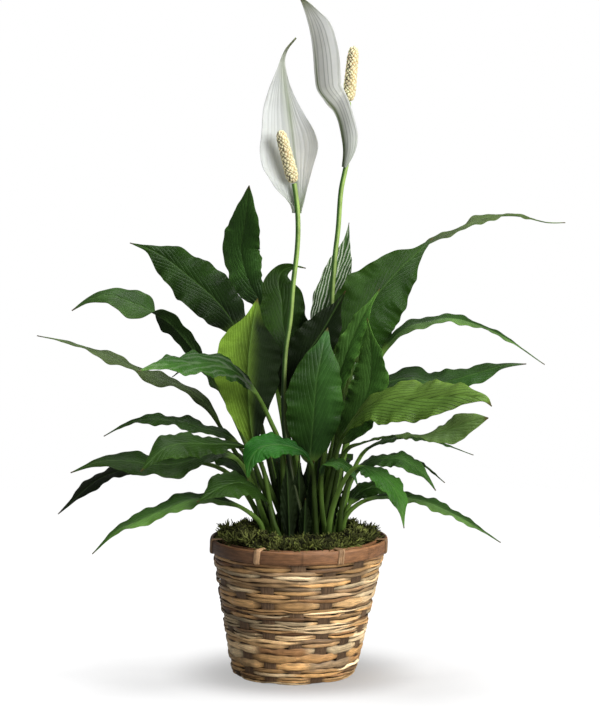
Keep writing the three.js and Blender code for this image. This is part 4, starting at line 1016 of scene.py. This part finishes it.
def spathe_form(flower, settings):
    """The hood: an arc across each section, rolled round the stalk at the foot and opening above.

    The arc's radius grows from foot to blade; each half reaches as far as its row of the plan says.
    Ribs run from foot to tip, unevenly spaced and crowding as the hood narrows, and the surface
    swells between them. A green midrib fades towards the middle, and the tip is olive. The halves
    are greyed by painted shade.
    """
    dense = Path(flower["spathe"], SPATHE_SPAN).places
    share = np.linspace(0, len(flower["spathe"]) - 1, 150)
    index = np.arange(len(dense))
    place = np.stack([np.interp(share * SPATHE_SPAN, index, column) for column in dense.T], -1)
    heading = unit(np.gradient(place[:, :3], axis=0))
    t = share / share[-1]
    faces = np.array(flower["faces"], float)
    up = unit(faces - heading * dot(heading, faces))
    side = np.cross(up, heading)
    bend = mix(*flower["bend"], smoothstep(0, 0.35, t))[:, None]
    count = 49
    u = np.linspace(-1, 1, count)[None, :]
    reach = np.where(u > 0, place[:, 3:4], place[:, 4:5])
    arc = u * reach
    phase = settings.ribs * flower["spacing"] * (u + 0.05 * np.sin(9 * u + 2 * t[:, None]))
    edge = np.abs(u) ** 8 * 0.5 * np.sin(24 * t[:, None] + 2 * u)
    quilt = 0.35 * (np.abs(np.sin(np.pi * phase)) - 0.6) * np.minimum(1, reach / 12) + edge
    angle = arc / bend
    normal = up[:, None] * np.cos(angle)[..., None] - side[:, None] * np.sin(angle)[..., None]
    middle = place[:, None, :3] + side[:, None] * (bend * np.sin(angle))[..., None]
    middle = middle + up[:, None] * (bend * (1 - np.cos(angle)))[..., None]
    rows = [middle + normal * (quilt + h)[..., None] for h in (0.3, -0.3)]
    rings = np.concatenate([rows[0], rows[1][:, ::-1]], 1)
    fields = ("spathe", "spathe_grey", "spathe_green", "spathe_tip")
    white, grey, green, tip = (np.array(getattr(settings, field)) for field in fields)
    along = t[:, None]
    # Painted shade greys each half of the hood by the flower's grey shares.
    right, left = flower["grey"]
    painted_shade = mix(right, left, smoothstep(-0.15, 0.15, u)) * np.ones_like(arc)
    tone = mix(white, grey, painted_shade[..., None])
    wide, strong = flower["line"]
    wide = wide * mix(1.6, 0.7, smoothstep(0.15, 0.5, along))
    line = np.exp(-((arc / wide) ** 2)) * strong * (1 - 0.7 * smoothstep(0.5, 0.75, along))
    band = np.exp(-((arc / 4.5) ** 2)) * flower["band"] * smoothstep(0.3, 0.55, along)
    foot = (1 - smoothstep(0.0, 0.2, along)) * 0.5
    tone = mix(tone, grey * (0.9, 0.95, 0.75), band[..., None])
    tone = mix(tone, green, np.maximum(line, foot * np.ones_like(arc))[..., None])
    tone = mix(tone, tip, (smoothstep(0.84, 0.97, along) * 0.95 * np.ones_like(arc))[..., None])
    vein = np.stack([phase, arc, t[:, None] * np.ones_like(arc)], -1)
    tint = np.concatenate([tone, tone[:, ::-1]], 1)
    blade = np.concatenate([vein, vein[:, ::-1]], 1)
    return skin(rings, tint=tint, blade=blade, ribbed=np.full(tint.shape[:2], flower["ribs"]))


# ---------------------------------------------------------------- basket


def basket_radius(z):
    """The weave's radius at a height: a cone that is drawn in a little at its foot."""
    drawn_in = 1.4 * (1 - smoothstep(0, 11, z))
    return mix(BASE_RADIUS, TOP_RADIUS, z / (BASKET_HEIGHT - HOOP_HEIGHT)) - drawn_in


def standing(radius, angle, z):
    """Points at this radius and angle about the basket's leaning axis."""
    x = radius * np.cos(angle) + z * BASKET_LEAN / BASKET_HEIGHT
    return np.stack(np.broadcast_arrays(x, radius * np.sin(angle), z), -1)


def painted_light_round(theta):
    """Painted light round the basket: 1 at the front right, where the light falls, down by a cosine
    to 0 behind.
    """
    return 0.5 + 0.5 * np.cos(theta + 0.6)


# Cross-sections of the cane: places across from -1 to 1, and how far out each of them stands.
STRIP_SECTION = np.array(
    [(-1, -0.7, 0, 0.7, 1, 0.7, 0, -0.7), (0, 0.75, 1, 0.75, 0, -0.35, -0.35, -0.35)]
)
STAKE_SECTION = np.array([
    (-1, -0.9, -0.5, 0, 0.5, 0.9, 1, 0.9, 0.5, 0, -0.5, -0.9),
    (0, 0.42, 0.5, 0.55, 0.5, 0.42, 0, -0.4, -0.4, -0.4, -0.4, -0.4),
])
TIE_SECTION = np.array([(-1, -0.6, 0, 0.6, 1, 0.6, 0, -0.6), (0.1, 0.85, 1, 0.85, 0.1, 0, 0, 0)])

DIVES = STAKES // 2  # how often a strip passes behind a stake on its way round
STRANDS_IN_A_ROW = [1, 2, 2, 2, 3]
ROW_STAYS = 0.16  # share of dives that a whole row leaves out
STRAND_STAYS = 0.2  # and that a single strand leaves out


def strip_forms(settings, rng):
    """Woven strips: one to three split strands to a row, passing in front of every other stake.

    Round the basket the radius swings by a flattened cosine of eight turns, one stake later each
    row, and now and then a strand or its whole row stays in front. The strands of a row share its
    height where they show and crowd together where they dive. Each is a lens in section, wanders a
    little, and takes a colour of its own from dive to dive, darker towards the top. Painted light
    brightens the front right, and painted shade darkens a strand where it dives and along its
    edges.
    """
    row_height = WOVEN_TOP / ROWS
    forms = []
    palette = np.array([settings.pale, settings.gold, settings.brown])
    v, outside = STRIP_SECTION[:, None]
    for row in range(ROWS):
        begin = math.pi / 2 + (math.pi / STAKES if row % 2 == 0 else 0)
        theta = (begin + np.linspace(0, 2 * np.pi - 0.002, 209))[:, None]
        regular = np.cos(theta * STAKES / 2 + row * np.pi)
        turns = (theta - begin) / (2 * np.pi) * STAKES / 2
        dive = np.round(turns).astype(int) % DIVES
        segment = np.floor(turns).astype(int).clip(0, DIVES - 1)
        ends = (np.arange(DIVES)[:, None] + (0.1, 0.9)).ravel()
        strands = rng.choice(STRANDS_IN_A_ROW)
        covered = rng.random(DIVES) < ROW_STAYS
        circle = np.concatenate([np.cos(theta), np.sin(theta)], 1) * 65
        for strand in range(strands):
            lane = (strand + 0.5) / strands * 2 - 1
            around = np.concatenate([circle, np.full_like(theta, 40 * row + 90 * strand)], 1)
            wander, slack, bulk = (ripple(around, rng, size)[:, None] for size in (36, 24, 15))
            stays = covered | (rng.random(DIVES) < STRAND_STAYS)
            swing = np.where(stays[dive], np.abs(regular), regular)
            front = smoothstep(-1.0, -0.1, swing)
            swing_out = np.sign(swing) * np.abs(swing) ** 0.6
            tall = row_height * mix(0.74, 1.16, smoothstep(-1.0, -0.1, regular))
            half = tall / strands / 2 * (0.98 + 0.25 * bulk)
            z = (row + 0.5) * row_height + lane * tall / 2 + 0.85 * wander + v * half
            z = np.maximum(z, 0.3 + 0.12 * np.abs(v))
            radius = basket_radius(z) + settings.relief / MM * swing_out + 0.35 * slack
            radius = radius + settings.strip_thickness / MM * outside
            rings = standing(radius, theta, z)
            worth = rng.dirichlet((0.4, 0.5, 0.3), DIVES) @ palette
            worth = worth * rng.uniform(0.55, 1.7, (DIVES, 1)) * mix(0.75, 1.08, 1 - row / ROWS)
            worth = np.repeat(worth, 2, 0)
            tone = np.stack([np.interp(turns, ends, column) for column in worth.T], -1)
            # Painted shade where the strand dives behind a stake, and painted light strongest at
            # the front right.
            tone = tone * (mix(0.35, 1.0, front) * mix(0.56, 1.24, painted_light_round(theta)))[..., None]
            # Painted shade along the strand's edges, in the gaps between strands.
            tone = tone * (1 - 0.75 * np.abs(v[..., None]) ** 4)
            place = 9.0 * row + 3.0 * segment + 1.7 * strand
            grain = np.stack(np.broadcast_arrays(theta * 70, v * half, place), -1)
            forms.append(skin(rings, tint=np.broadcast_to(tone, rings.shape), grain=grain))
    return forms


def stake_forms(settings, rng):
    """Upright stakes: flat strips that follow the basket's slope between the woven rows."""
    forms = []
    w, out = STAKE_SECTION[:, None]
    z = np.linspace(1.0, WOVEN_TOP + 3, 60)[:, None]
    for stake in range(STAKES):
        middle = 2 * np.pi * stake / STAKES + rng.uniform(-0.012, 0.012)
        half = settings.stake_width / MM / 2 * mix(0.92, 1.05, z / WOVEN_TOP)
        radius = basket_radius(z) + out
        angle = middle + w * half / radius
        rings = standing(radius, angle, z * np.ones_like(w))
        tone = np.array(settings.stake) * rng.uniform(0.7, 1.5)
        tint = np.broadcast_to(tone, rings.shape)
        grain = np.stack(np.broadcast_arrays(z * 1.0, w * half, 5.0 * stake), -1)
        forms.append(skin(rings, tint=tint, grain=grain))
    return forms


HOOP_JOINTS = np.array([0.3, 1.9, 3.4, 4.75, 5.6])  # radians round the rim
TIE_WIDTH = 6.2
TIE_THICKNESS = 1.15
SPLIT_TIES = (0, 2, 4)  # ties of three strands
PALE_TIES = (0, 6)


def hoop_form(inner, outer, low, high, tone, rng):
    """A bamboo hoop: a rounded flat section turned about the leaning axis, with low, darker joints.

    Its colour carries painted light, strongest at the front right, and a painted highlight along
    the top of its outer face.
    """
    theta = np.linspace(0, 2 * np.pi, 300, endpoint=False)[:, None] + np.pi / 2
    side = np.linspace(0, 2 * np.pi, 28, endpoint=False)[None, :]
    c, s = np.cos(side), np.sin(side)
    box_c = np.sign(c) * np.abs(c) ** 0.45
    box_s = np.sign(s) * np.abs(s) ** 0.55
    apart = np.abs((theta - HOOP_JOINTS[None, :] + np.pi) % (2 * np.pi) - np.pi)
    joint = np.exp(-((apart / 0.012) ** 2)).sum(1, keepdims=True)
    depth, height = (outer - inner) / 2, (high - low) / 2
    circle = np.concatenate([np.cos(theta), np.sin(theta), 0 * theta], 1) * 80
    wander = ripple(circle, rng, 60)[:, None]
    radius = (inner + outer) / 2 + depth * box_c * (1 - 0.12 * s**2)
    radius = radius + 0.3 * joint * (c > 0) * np.abs(c)
    z = (low + high) / 2 + height * box_s - 0.12 * height * (wander + 1) * (s < 0) * np.abs(s)
    rings = standing(radius, theta, z)
    shade = mix(0.75, 1.15, smoothstep(-1, 1, wander)) * (1 - 0.45 * joint)
    # Painted light, strongest at the front right.
    shade = shade * mix(0.2, 1.08, painted_light_round(theta))
    # Painted highlight along the top of the outer face.
    shade = shade * mix(1.0, 1.35, smoothstep(0.3, 0.9, s) * (c > 0))
    tint = np.broadcast_to(np.array(tone) * shade[..., None], rings.shape)
    grain = np.stack(np.broadcast_arrays(theta * outer, z, box_c * 2), -1)
    return skin(rings, looped=True, tint=tint, grain=grain)


def tie_forms(azimuth, strands, tone, rng):
    """Straps bound round both hoops: a flat section carried round a squarish loop."""
    out = TOP_RADIUS + 2 * CLEARANCE + HOOP_THICKNESS
    inside = INNER_HOOP_RADIUS - 2 * CLEARANCE - 0.3
    top, low = BASKET_HEIGHT + CLEARANCE, BASKET_HEIGHT - HOOP_HEIGHT - 0.6
    a = np.linspace(0, 2 * np.pi, 96, endpoint=False)[:, None]
    squared = (np.abs(np.cos(a)) ** 7 + np.abs(np.sin(a)) ** 7) ** (-1 / 7)
    width = TIE_WIDTH / strands
    w, lift = TIE_SECTION[:, None]
    lift = lift * TIE_THICKNESS
    forms = []
    for strand in range(strands):
        place = (strand - (strands - 1) / 2) * width * 1.02
        slant = rng.uniform(-0.3, 0.3) + 0.5 * np.sin(a)
        radius = (out + inside) / 2 + ((out - inside) / 2 + lift) * np.cos(a) * squared
        z = (top + low) / 2 + ((top - low) / 2 + lift) * np.sin(a) * squared
        angle = math.radians(azimuth) + (place + slant + w * width / 2) / TOP_RADIUS
        rings = standing(radius, angle, z)
        shade = rng.uniform(0.8, 1.2)
        tint = np.broadcast_to(np.array(tone) * shade, rings.shape)
        grain = np.stack(np.broadcast_arrays(a * 14, w * width / 2, strand * 9.0 + azimuth), -1)
        forms.append(skin(rings, looped=True, tint=tint, grain=grain))
    return forms


# ---------------------------------------------------------------- moss and soil


def moss_place(angle, place):
    """The moss mound's surface: angle runs round, place from the pot's wall at 0 to the crown at 1.

    The height is a fixed base and an arch across the ring, with three waves of different pitch
    round it for lumps.
    """
    foot_radius, foot_height = POT_FOOT
    top_radius, top_height, wall = POT_WALL_TOP
    slope = (top_radius - foot_radius) / (top_height - foot_height)
    outer = foot_radius + slope * (SOIL_TOP - foot_height) - wall - 4 * CLEARANCE
    centre = BASKET_LEAN * SOIL_TOP / BASKET_HEIGHT
    x = mix(centre + outer * np.cos(angle), CROWN_X + MOSS_INNER_RADIUS * np.cos(angle), place)
    y = mix(outer * np.sin(angle), MOSS_INNER_RADIUS * np.sin(angle), place)
    lumps = np.sin(7 * angle + 9 * place) + 0.6 * np.sin(13 * angle - 7 * place)
    lumps = lumps + 0.5 * np.cos(19 * angle)
    mound = 2 + 19 * np.sin(np.pi * (0.17 + 0.63 * place)) ** 0.8 + 2.6 * lumps
    return np.stack(np.broadcast_arrays(x, y, SOIL_TOP + CLEARANCE + np.maximum(2, mound)), -1)


def mound_form(settings, rng):
    """The body of the moss: a ring-shaped mound closed underneath, roughened by random swells."""
    angle = np.linspace(0, 2 * np.pi, 260, endpoint=False)[:, None]
    place = np.linspace(0, 1, 27)[None, :]
    top = moss_place(angle, place)
    rough = ripple(top.reshape(-1, 3), rng, 9, 9) + ripple(top.reshape(-1, 3), rng, 4, 9)
    top[..., 2] += 0.9 * rough.reshape(top.shape[:2]) - 0.8
    floor = top[:, [-1, 0]].copy()
    floor[..., 2] = SOIL_TOP + CLEARANCE
    rings = np.concatenate([top, floor], 1)
    tint = np.broadcast_to(np.array(settings.brown), rings.shape)
    return skin(rings, looped=True, tint=tint)


BRIM_SHARE = 0.3  # of the sprigs, which stand along the brim


def sprig_form(settings, rng, count):
    """Moss sprigs: each a four-sided tapering stem of two joints that bows outward and down.

    Some are longer and stand along the brim, leaning out over the pot's edge.
    """
    angle = rng.uniform(0, 2 * np.pi, count)
    place = rng.uniform(0.0, 1.0, count)
    brim = rng.random(count) < BRIM_SHARE
    place = np.where(brim, 0.06 * place - 0.05, place)
    root = moss_place(angle, place) - (0, 0, 1.2)
    away = np.stack([np.cos(angle), np.sin(angle), 0 * angle], -1)
    away = away * (0.55 - place + 0.7 * brim)[:, None]
    lean = unit(away + rng.normal(0, 0.75, (count, 3)) + (0, 0, 0.5))
    lean[:, 2] = np.abs(lean[:, 2]) * 0.9 + 0.1 + 0.25 * brim
    sag = rng.normal(0, 0.5, (count, 3)) - (0, 0, 0.25)
    reach = settings.sprig_length / MM * rng.uniform(0.5, 1.3, count) * (1 + 1.5 * brim)
    reach = reach[:, None, None]
    s = np.linspace(0, 1, 3)[:, None]
    spine = root[:, None] + lean[:, None] * reach * s + sag[:, None] * reach * s**2 * 0.55
    thick = rng.uniform(0.65, 1.25, (count, 1, 1, 1)) * (1 - 0.7 * s**1.5)[..., None]
    flat = unit(np.cross(lean, rng.normal(size=(count, 3))))[:, None, None]
    other = np.cross(lean[:, None, None], flat)
    a = (np.arange(4) * np.pi / 2)[:, None]
    points = spine[:, :, None] + (flat * np.cos(a) + other * np.sin(a)) * thick
    k = np.arange(8).reshape(2, 4)
    turned = np.roll(k, -1, 1)
    sides = np.stack([k, turned, turned + 4, k + 4], -1).reshape(-1, 4)
    one = np.concatenate([sides, [[3, 2, 1, 0], [8, 9, 10, 11]]])
    quads = (one[None] + (np.arange(count) * 12)[:, None, None]).reshape(-1, 4)
    fresh = rng.uniform(0.15, 1.0, (count, 1)) ** 1.2
    tone = mix(np.array(settings.brown), np.array(settings.green), fresh)
    # Painted light and shade: brighter and darker clumps stand for light on the moss's cushions and
    # shade between them; each sprig is also darker towards its root.
    clump = ripple(root, rng, 17)[:, None] + 0.6 * ripple(root, rng, 7)[:, None]
    tone = tone * rng.uniform(0.5, 1.6, (count, 1)) * (1 + 1.1 * clump).clip(0.15, 2.6)
    tint = tone[:, None] * mix(0.35, 1.25, np.repeat(s, 4, 0))
    return Form(points.reshape(-1, 3), quads, {"tint": tint.reshape(-1, 3)})


BARK_CHIPS = 420
BOX = np.array(
    [[0, 3, 2, 1], [4, 5, 6, 7], [0, 1, 5, 4], [1, 2, 6, 5], [2, 3, 7, 6], [3, 0, 4, 7]]
)


def chip_form(rng, count):
    """Bits of bark on the soil: small slabs turned at random, each a box with a crooked outline."""
    angle, reach = rng.uniform(0, 2 * np.pi, count), 44 * np.sqrt(rng.uniform(0, 1, count))
    base = np.stack([CROWN_X + reach * np.cos(angle), reach * np.sin(angle)], -1)
    base = np.concatenate([base, np.full((count, 1), SOIL_TOP + 0.9)], 1)
    corner = np.array([(x, y, z) for z in (-1, 1) for x, y in ((-1, -1), (1, -1), (1, 1), (-1, 1))])
    size = rng.uniform((1.5, 1.0, 0.4), (4.5, 2.6, 1.0), (count, 3))[:, None]
    local = corner[None] * size + rng.normal(0, 0.25, (count, 8, 3))
    turn, tilt = rng.uniform(0, 6.28, count), rng.normal(0, 0.25, count)
    x = local[..., 0] * np.cos(turn)[:, None] - local[..., 1] * np.sin(turn)[:, None]
    y = local[..., 0] * np.sin(turn)[:, None] + local[..., 1] * np.cos(turn)[:, None]
    z = local[..., 2] + x * tilt[:, None]
    points = base[:, None] + np.stack([x, y, z], -1)
    quads = (BOX[None] + (np.arange(count) * 8)[:, None, None]).reshape(-1, 4)
    return Form(points.reshape(-1, 3), quads, {})


# ---------------------------------------------------------------- operators

SEEDS = {"leaves": 100, "sheaths": 90, "strips": 7, "rim": 11, "bark": 3, "moss": 5}


def seeded(what, extra=0):
    return np.random.default_rng(SEEDS[what] + extra)


class LILY_OT_leaves(bpy.types.Operator):
    """Make the leaves, each over its own CAD node"""

    bl_idname = "lily.leaves"
    bl_label = "Leaves"

    def execute(self, context):
        settings = context.scene.lily_leaves
        names = {"leaf": "Leaf", "young_leaf": "Young leaf", "shaded_leaf": "Shaded leaf"}
        finishes = {slot: leaf_finish(label, settings) for slot, label in names.items()}
        for index, (name, leaf) in enumerate(LEAVES.items()):
            slot = leaf_slot(name)
            form = leaf_form(leaf, settings, seeded("leaves", index))
            add_piece(f"fine_leaf_{name}", form, finishes[slot], slot, f"leaf_{name}", crease=60)
        sheaths = joined(sheath_forms(settings, seeded("sheaths")))
        add_piece("leaf_sheaths", sheaths, finishes["shaded_leaf"], "shaded_leaf", crease=60)
        return {"FINISHED"}


class LILY_OT_flowers(bpy.types.Operator):
    """Make the two flowers: stalk, white spathe and knobbly spadix"""

    bl_idname = "lily.flowers"
    bl_label = "Flowers"

    def execute(self, context):
        settings = context.scene.lily_flowers
        waxy = {"Subsurface Weight": 0.1, "Subsurface Scale": 0.002}
        stalk = plain_finish("Flower stalk", 0.45, 0.06, 80, **{"Specular IOR Level": 0.4})
        spathe = spathe_finish("Spathe")
        spadix = plain_finish("Spadix", 0.6, 0.08, 200, **waxy)
        kinds = (("stalk", stalk_form, stalk, 50), ("spathe", spathe_form, spathe, 60),
            ("spadix", spadix_form, spadix, 80))
        for name, flower in FLOWERS.items():
            for kind, make, finish, crease in kinds:
                node = f"flower_{name}_{kind}"
                form = make(flower, settings)
                add_piece(f"fine_{node}", form, finish, kind, node, crease=crease)
        return {"FINISHED"}


class LILY_OT_basket(bpy.types.Operator):
    """Make the basket's woven strips and stakes, and finish its floor"""

    bl_idname = "lily.basket"
    bl_label = "Basket"

    def execute(self, context):
        settings = context.scene.lily_basket
        rng = seeded("strips")
        cane = cane_finish("Woven strip", 0.46, 0.5, 0.35)
        wood = cane_finish("Stake", 0.6, 0.55, 0.4)
        add_piece("woven_strips", joined(strip_forms(settings, rng)), cane, "weave", "basket_wall")
        add_piece("stakes", joined(stake_forms(settings, rng)), wood, "weave", "basket_wall")
        floor = solid_finish("Basket floor", settings.brown, settings.gold, 40, 0.6, 0.5)
        dress("basket_floor", floor)
        return {"FINISHED"}


class LILY_OT_rim(bpy.types.Operator):
    """Make the bamboo hoops of the rim and the ties that bind them"""

    bl_idname = "lily.rim"
    bl_label = "Rim"

    def execute(self, context):
        settings = context.scene.lily_basket
        rng = seeded("rim")
        bamboo = cane_finish("Bamboo", 0.42, 0.42, 0.22)
        strap = cane_finish("Tie", 0.5, 0.3, 0.25)
        low, high = BASKET_HEIGHT - HOOP_HEIGHT, BASKET_HEIGHT
        inner = TOP_RADIUS + CLEARANCE
        outer_hoop = hoop_form(inner, inner + HOOP_THICKNESS, low, high, settings.hoop, rng)
        add_piece("fine_hoop_outer", outer_hoop, bamboo, "bamboo", "rim_hoop_outer")
        outside = TOP_RADIUS - WALL - CLEARANCE
        inner_hoop = hoop_form(INNER_HOOP_RADIUS, outside, low + 3, high, settings.hoop, rng)
        add_piece("fine_hoop_inner", inner_hoop, bamboo, "bamboo", "rim_hoop_inner")
        for tie in range(TIES):
            azimuth = 270 + 360 * (tie + 0.5) / TIES + TIE_SHIFTS.get(tie, 0)
            strands = 3 if tie in SPLIT_TIES else 1
            pale = 1.0 if tie in PALE_TIES else 0.5
            form = joined(tie_forms(azimuth, strands, np.array(settings.tie) * pale, rng))
            add_piece(f"fine_tie_{tie + 1}", form, strap, "tie", f"rim_tie_{tie + 1}")
        return {"FINISHED"}


class LILY_OT_pot(bpy.types.Operator):
    """Finish the nursery pot and the soil, and strew bark on the soil"""

    bl_idname = "lily.pot"
    bl_label = "Pot and soil"

    def execute(self, context):
        dark = np.array(context.scene.lily_basket.pot)
        earth = np.array(context.scene.lily_moss.soil)
        dress("grow_pot", solid_finish("Nursery pot", dark, dark * 2.2, 120, 0.4, 0.1))
        peat = solid_finish("Soil", earth * 0.5, earth * 1.8, 150, 0.9, 1.2)
        dress("soil", peat)
        chips = chip_form(seeded("bark"), BARK_CHIPS)
        add_piece("bark_chips", chips, peat, "soil", crease=20)
        return {"FINISHED"}


class LILY_OT_moss(bpy.types.Operator):
    """Make the moss mound round the plant and its sprigs"""

    bl_idname = "lily.moss"
    bl_label = "Moss"

    def execute(self, context):
        settings = context.scene.lily_moss
        rng = seeded("moss")
        finish = plain_finish("Moss", 0.85, 0.4, 160, **{"Specular IOR Level": 0.15})
        add_piece("moss_mound", mound_form(settings, rng), finish, "moss", "moss", crease=80)
        sprigs = sprig_form(settings, rng, settings.sprigs)
        add_piece("moss_sprigs", sprigs, finish, "moss", "moss", crease=80)
        return {"FINISHED"}


CAMERA_PLACE = (0.006, -2.484, 0.583)  # the photo's viewpoint, in metres
CAMERA_DIP = 6.5  # degrees that it looks down
SENSOR_HEIGHT = 36  # mm, as is the lens
LENS = 132.35
LIGHT_TARGET = (0.0, 0.0, 0.28)
FLOOR_RINGS = (1, 80, 140, 220, 340, 500, 750, 1100, 1600.0)  # radii, in mm
FLOOR_THICKNESS = 2.0
FLOOR_GAP = 0.05  # mm between the floor and the basket's foot


def add_light(name, size, strength, place):
    """Add a round area light, turned to face the middle of the plant."""
    data = bpy.data.lights.new(name, "AREA")
    data.shape = "DISK"
    data.size = size
    data.energy = strength
    data.spread = math.pi
    light = bpy.data.objects.new(name, data)
    light.location = place
    toward = np.array(LIGHT_TARGET) - np.array(place)
    pitch = math.atan2(math.hypot(toward[0], toward[1]), -toward[2])
    light.rotation_euler = (pitch, 0, math.atan2(toward[1], toward[0]) - math.pi / 2)
    bpy.context.scene.collection.objects.link(light)
    return light


class LILY_OT_stage(bpy.types.Operator):
    """Set the pale floor, the soft lights and the camera"""

    bl_idname = "lily.stage"
    bl_label = "Stage"

    def execute(self, context):
        scene = context.scene
        settings = scene.lily_stage
        scene.view_settings.view_transform = "Standard"
        angle = np.linspace(0, 2 * np.pi, 96, endpoint=False)
        reach = np.array(FLOOR_RINGS)[:, None]
        x, y = reach * np.cos(angle), reach * np.sin(angle)
        disc = np.stack(np.broadcast_arrays(x, y, -FLOOR_GAP), -1)
        under = disc - (0, 0, FLOOR_THICKNESS)
        rings = np.concatenate([disc, under[::-1]])
        floor = add_floor("floor", skin(rings.transpose(1, 0, 2), looped=True), settings)
        key = add_light("key", 1.8, settings.key, (1.75, -1.65, 1.3))
        add_light("fill", 1.6, settings.fill, (-1.7, -1.4, 0.8))
        add_light("overhead", 1.5, settings.overhead, (0.1, 0.3, 2.4))
        add_surroundings(scene, settings.ambient)
        subject = bpy.data.collections.new("lit by the key")
        for lit in scene.objects:
            if lit.type == "MESH" and lit is not floor:
                subject.objects.link(lit)
        key.light_linking.receiver_collection = subject
        camera = bpy.data.objects.new("camera", bpy.data.cameras.new("camera"))
        camera.location = CAMERA_PLACE
        camera.rotation_euler = (math.radians(90 - CAMERA_DIP), 0, 0)
        camera.data.sensor_fit = "VERTICAL"
        camera.data.sensor_height = SENSOR_HEIGHT
        camera.data.lens = LENS
        camera.data.clip_end = 20
        scene.collection.objects.link(camera)
        scene.camera = camera
        return {"FINISHED"}


SHADE_REACH = (0.06, 0.135)  # metres from the middle, where the shade at the foot is full and gone
SHADE_LEFT = 0.58  # share of the floor's own light that is left in the full shade


def add_floor(name, form, settings):
    """A pale disc that fades out towards its edge, so that it has no horizon.

    What it gives off itself is weaker close to the foot, where a basket would shade it.
    """
    f = Finish("Floor")
    far = f.add("VectorMath", {0: f.place}, "Value", operation="LENGTH")
    cloud = f.noise(f.place, 3.0, 2.0)
    tone = f.scaled(rgb(settings.floor), f.between(cloud, 0.3, 0.7, 0.995, 1.0))
    f.feed(f.shader, {"Base Color": tone, "Roughness": 0.9, "Specular IOR Level": 0.0})
    seen = f.add("LightPath", {}, "Is Camera Ray")
    shade = f.between(far, *SHADE_REACH, SHADE_LEFT, 1.0)
    glow = f.math("MULTIPLY", f.math("MULTIPLY", seen, settings.glow), shade)
    f.feed(f.shader, {"Emission Color": (1, 1, 1, 1), "Emission Strength": glow})
    f.feed(f.shader, {"Alpha": f.between(far, 0.35, 1.2, 1.0, 0.0)})
    mesh = bpy.data.meshes.new(name)
    mesh.from_pydata((form.points * MM).tolist(), [], form.quads.tolist())
    mesh.materials.append(f.material)
    floor = bpy.data.objects.new(name, mesh)
    bpy.context.scene.collection.objects.link(floor)
    return floor


def add_surroundings(scene, strength):
    """Even light from all round, behind a plain white backdrop."""
    world = bpy.data.worlds.new("Surroundings")
    world.use_nodes = True
    scene.world = world
    tree = world.node_tree
    tree.nodes.clear()
    output = tree.nodes.new("ShaderNodeOutputWorld")
    both = tree.nodes.new("ShaderNodeMixShader")
    rays = tree.nodes.new("ShaderNodeLightPath")
    light = tree.nodes.new("ShaderNodeBackground")
    light.inputs["Color"].default_value = (1, 1, 1, 1)
    light.inputs["Strength"].default_value = strength
    backdrop = tree.nodes.new("ShaderNodeBackground")
    backdrop.inputs["Color"].default_value = (1, 1, 1, 1)
    backdrop.inputs["Strength"].default_value = 1.0
    tree.links.new(rays.outputs["Is Camera Ray"], both.inputs[0])
    tree.links.new(light.outputs[0], both.inputs[1])
    tree.links.new(backdrop.outputs[0], both.inputs[2])
    tree.links.new(both.outputs[0], output.inputs[0])


OPERATORS = (
    LILY_OT_leaves, LILY_OT_flowers, LILY_OT_basket, LILY_OT_rim, LILY_OT_pot, LILY_OT_moss,
    LILY_OT_stage,
)


class LILY_PT_panel(bpy.types.Panel):
    """Buttons and sizes of the potted peace lily"""

    bl_idname = "LILY_PT_panel"
    bl_label = "Potted peace lily"
    bl_space_type = "VIEW_3D"
    bl_region_type = "UI"
    bl_category = "Peace Lily"

    def draw(self, context):
        for operator in OPERATORS:
            self.layout.operator(operator.bl_idname)
        for name, group in SETTINGS.items():
            box = self.layout.box()
            box.label(text=group.__name__.replace("Settings", ""))
            for field in group.__annotations__:
                box.prop(getattr(context.scene, name), field)


def register():
    for cls in (*SETTINGS.values(), *OPERATORS, LILY_PT_panel):
        bpy.utils.register_class(cls)
    for name, group in SETTINGS.items():
        setattr(bpy.types.Scene, name, PointerProperty(type=group))


def unregister():
    for name in SETTINGS:
        delattr(bpy.types.Scene, name)
    for cls in (LILY_PT_panel, *reversed(OPERATORS), *reversed(list(SETTINGS.values()))):
        bpy.utils.unregister_class(cls)


def main():
    register()
    bpy.ops.lily.leaves()
    bpy.ops.lily.flowers()
    bpy.ops.lily.basket()
    bpy.ops.lily.rim()
    bpy.ops.lily.pot()
    bpy.ops.lily.moss()
    bpy.ops.lily.stage()


if __name__ == "__main__":
    main()
